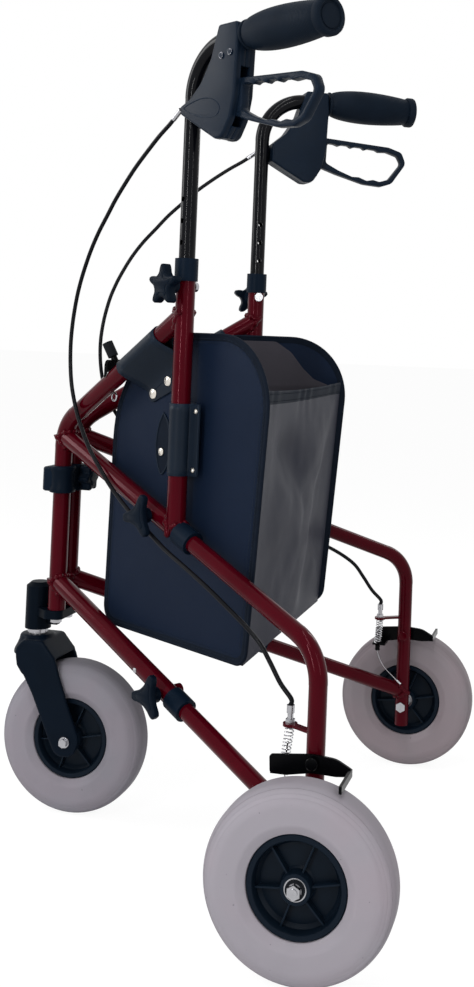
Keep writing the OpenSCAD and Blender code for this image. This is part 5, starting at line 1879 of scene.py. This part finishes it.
@dataclass
class Studio:
    """Floor, light and camera."""

    eye: Place = (1418.87, 674.01 + LAYOUT.column_y, 609.52)
    turn: Place = (1.038369, 1.355804, -1.367869)
    focal_px: float = 1177.76
    shift: Flat = (-0.10, -0.20)
    picture_h: float = 987.0
    sensor: float = 36.0
    world_light: float = 0.36
    floor_half: float = 30.0
    floor_z: float = -0.0005
    floor_glow: float = 1.12
    floor_share: float = 0.82
    lamps: tuple[Lamp, ...] = (
        Lamp("key", (0.35, -2.4, 1.5), (0.9, 1.2), 21.0),
        Lamp("front_strip", (2.1, -0.5, 1.1), (0.05, 1.6), 16.0),
        Lamp("back_strip", (1.6, 1.7, 1.3), (0.06, 1.6), 7.0, (0.0, 0.1, 0.5)),
        Lamp("top_strip", (0.9, 0.2, 2.4), (0.12, 1.8), 11.0, (0.1, 0.1, 0.3)),
        Lamp("rim", (-1.6, 0.9, 1.7), (0.2, 1.4), 6.0),
    )

    def build(self) -> None:
        """Make the camera, the lamps, the floor and the world."""
        self.camera()
        for lamp in self.lamps:
            lamp.build()
        self.floor()
        self.world()
        bpy.context.scene.view_settings.view_transform = "Standard"

    def camera(self) -> None:
        """The camera at the photograph's viewpoint."""
        data = bpy.data.cameras.new("camera")
        data.sensor_fit = "VERTICAL"
        data.sensor_height = self.sensor
        data.sensor_width = self.sensor
        data.lens = self.focal_px / self.picture_h * self.sensor
        data.shift_x, data.shift_y = self.shift
        camera = bpy.data.objects.new("camera", data)
        axis = Vector(self.turn)
        rows = Matrix.Rotation(axis.length, 3, axis.normalized())
        right, down, ahead = rows[0], rows[1], rows[2]
        facing = Matrix((right, -down, -ahead)).transposed().to_4x4()
        camera.matrix_world = Matrix.Translation(Vector(self.eye) * MM) @ facing
        bpy.context.scene.collection.objects.link(camera)
        bpy.context.scene.camera = camera

    def floor(self) -> None:
        """A pale floor that shows white and keeps a soft shadow."""
        material = bpy.data.materials.new("studio_floor")
        graph = Graph(material)
        diffuse = graph.node("ShaderNodeBsdfDiffuse", None, {"Color": (0.86, 0.86, 0.86, 1.0)})
        glow = {"Color": (1.0, 1.0, 1.0, 1.0), "Strength": self.floor_glow}
        white = graph.node("ShaderNodeEmission", None, glow)
        shares = {0: graph.seen() * self.floor_share, 1: diffuse, 2: white}
        graph.close(graph.node("ShaderNodeMixShader", None, shares))
        far = self.floor_half
        mesh = bpy.data.meshes.new("floor")
        mesh.from_pydata([(-far, -far, 0), (far, -far, 0), (far, far, 0), (-far, far, 0)], [], [(0, 1, 2, 3)])
        mesh.materials.append(material)
        floor = bpy.data.objects.new("floor", mesh)
        floor.location.z = self.floor_z
        bpy.context.scene.collection.objects.link(floor)

    def world(self) -> None:
        """Even white surroundings for the camera and grey ones for the light."""
        world = bpy.data.worlds.new("studio")
        bpy.context.scene.world = world
        graph = Graph(world)
        strength = graph.seen() * (1.0 - self.world_light) + self.world_light
        sky = graph.node("ShaderNodeBackground", None, {"Color": (1.0, 1.0, 1.0, 1.0), "Strength": strength})
        graph.close(sky, "ShaderNodeOutputWorld")


class Solids:
    """The solids that stay as they are and only get their finish."""

    red = ("front_tube", "post", "upper_tube", "lower_tube", "rear_leg", "lower_arm")
    bright = ("frame_bolts", "cable_adjuster", "housing_fittings", "bearings")
    bright_middle = ("hinge_bolts", "caster_stem", "front_axle", "front_bearings")

    def finishes(self) -> dict[str, Finish]:
        """The finish of each solid that is shown."""
        table: dict[str, Finish] = {}
        for side in Side:
            table.update({side.name_of(n): Finishes.frame_red for n in self.red})
            table.update({side.name_of(n): Finishes.zinc for n in self.bright})
            table[side.name_of("tube_fittings")] = Finishes.plastic
            table[side.name_of("brake_plate")] = Finishes.plate_black
            table[side.name_of("handle_tube")] = Finishes.gloss_black
        table["caster_housing"] = Finishes.stem_plastic
        table.update({name: Finishes.zinc for name in self.bright_middle})
        table["locking_bar"] = Finishes.plate_black
        table["locking_bar_cap"] = Finishes.cap_rubber
        return table

    def build(self) -> None:
        """Give the solids their finishes and rounded edges."""
        for name, finish in self.finishes().items():
            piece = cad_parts[name]
            piece.data.materials.clear()
            piece.data.materials.append(finish.material())
        for name, width in (("caster_housing", 1.6), ("locking_bar", 0.8)):
            soften(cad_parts[name], width)
        for side in Side:
            soften(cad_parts[side.name_of("tube_fittings")], 0.7)
            soften(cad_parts[side.name_of("brake_plate")], 0.6)


def main() -> None:
    """Build the studio and every sub-assembly in order."""
    logging.basicConfig(level=logging.INFO, format="%(name)s: %(message)s")
    Studio().build()
    for side in Side:
        BrakeLine(side).build()
    Solids().build()
    upper_s, lower_s = LAYOUT.upper_knob_s, LAYOUT.lower_knob_s
    knobs = (
        ("height_knob", KnobKind.STAR, (LAYOUT.post_s, LAYOUT.knob_z), 18.0, 12.0),
        ("upper_knob", KnobKind.TRI_LOBE, (upper_s, LAYOUT.upper(upper_s)), 70.0, 7.5),
        ("lower_knob", KnobKind.TRI_LOBE, (lower_s, LAYOUT.lower(lower_s)), 70.0, 7.5),
    )
    # The right tyre, on the far side, gets a darker copy of the same foam colour as painted shade.
    foams_with_painted_shade = {Side.LEFT: (0.365, 0.342, 0.382), Side.RIGHT: (0.315, 0.278, 0.300)}
    for side in Side:
        nodes = (side.name_of(name) for name in ("tyre", "hub", "wheel"))
        Wheel(*nodes, (LAYOUT.wheel_offset, 0.0, LAYOUT.wheel_r), foams_with_painted_shade[side]).build(LAYOUT.leg(side))
        Grip(side).build()
        BrakeHandle(side).build()
        for node, kind, place, turn, thick in knobs:
            Knob(side, node, kind, place, turn, thick).build()
        Welds(side).build()
        SmallParts(side).build()
        BagPanel(side).build()
    front = (0.0, LAYOUT.front_wheel_y, LAYOUT.wheel_r)
    # The front tyre's darker foam colour is painted shade.
    Wheel("front_tyre", "front_hub", "front_wheel", front, (0.285, 0.275, 0.312), False).build(LAYOUT.head())
    FrontEnd().build()
    BagCloth().build()


if __name__ == "__main__":
    main()
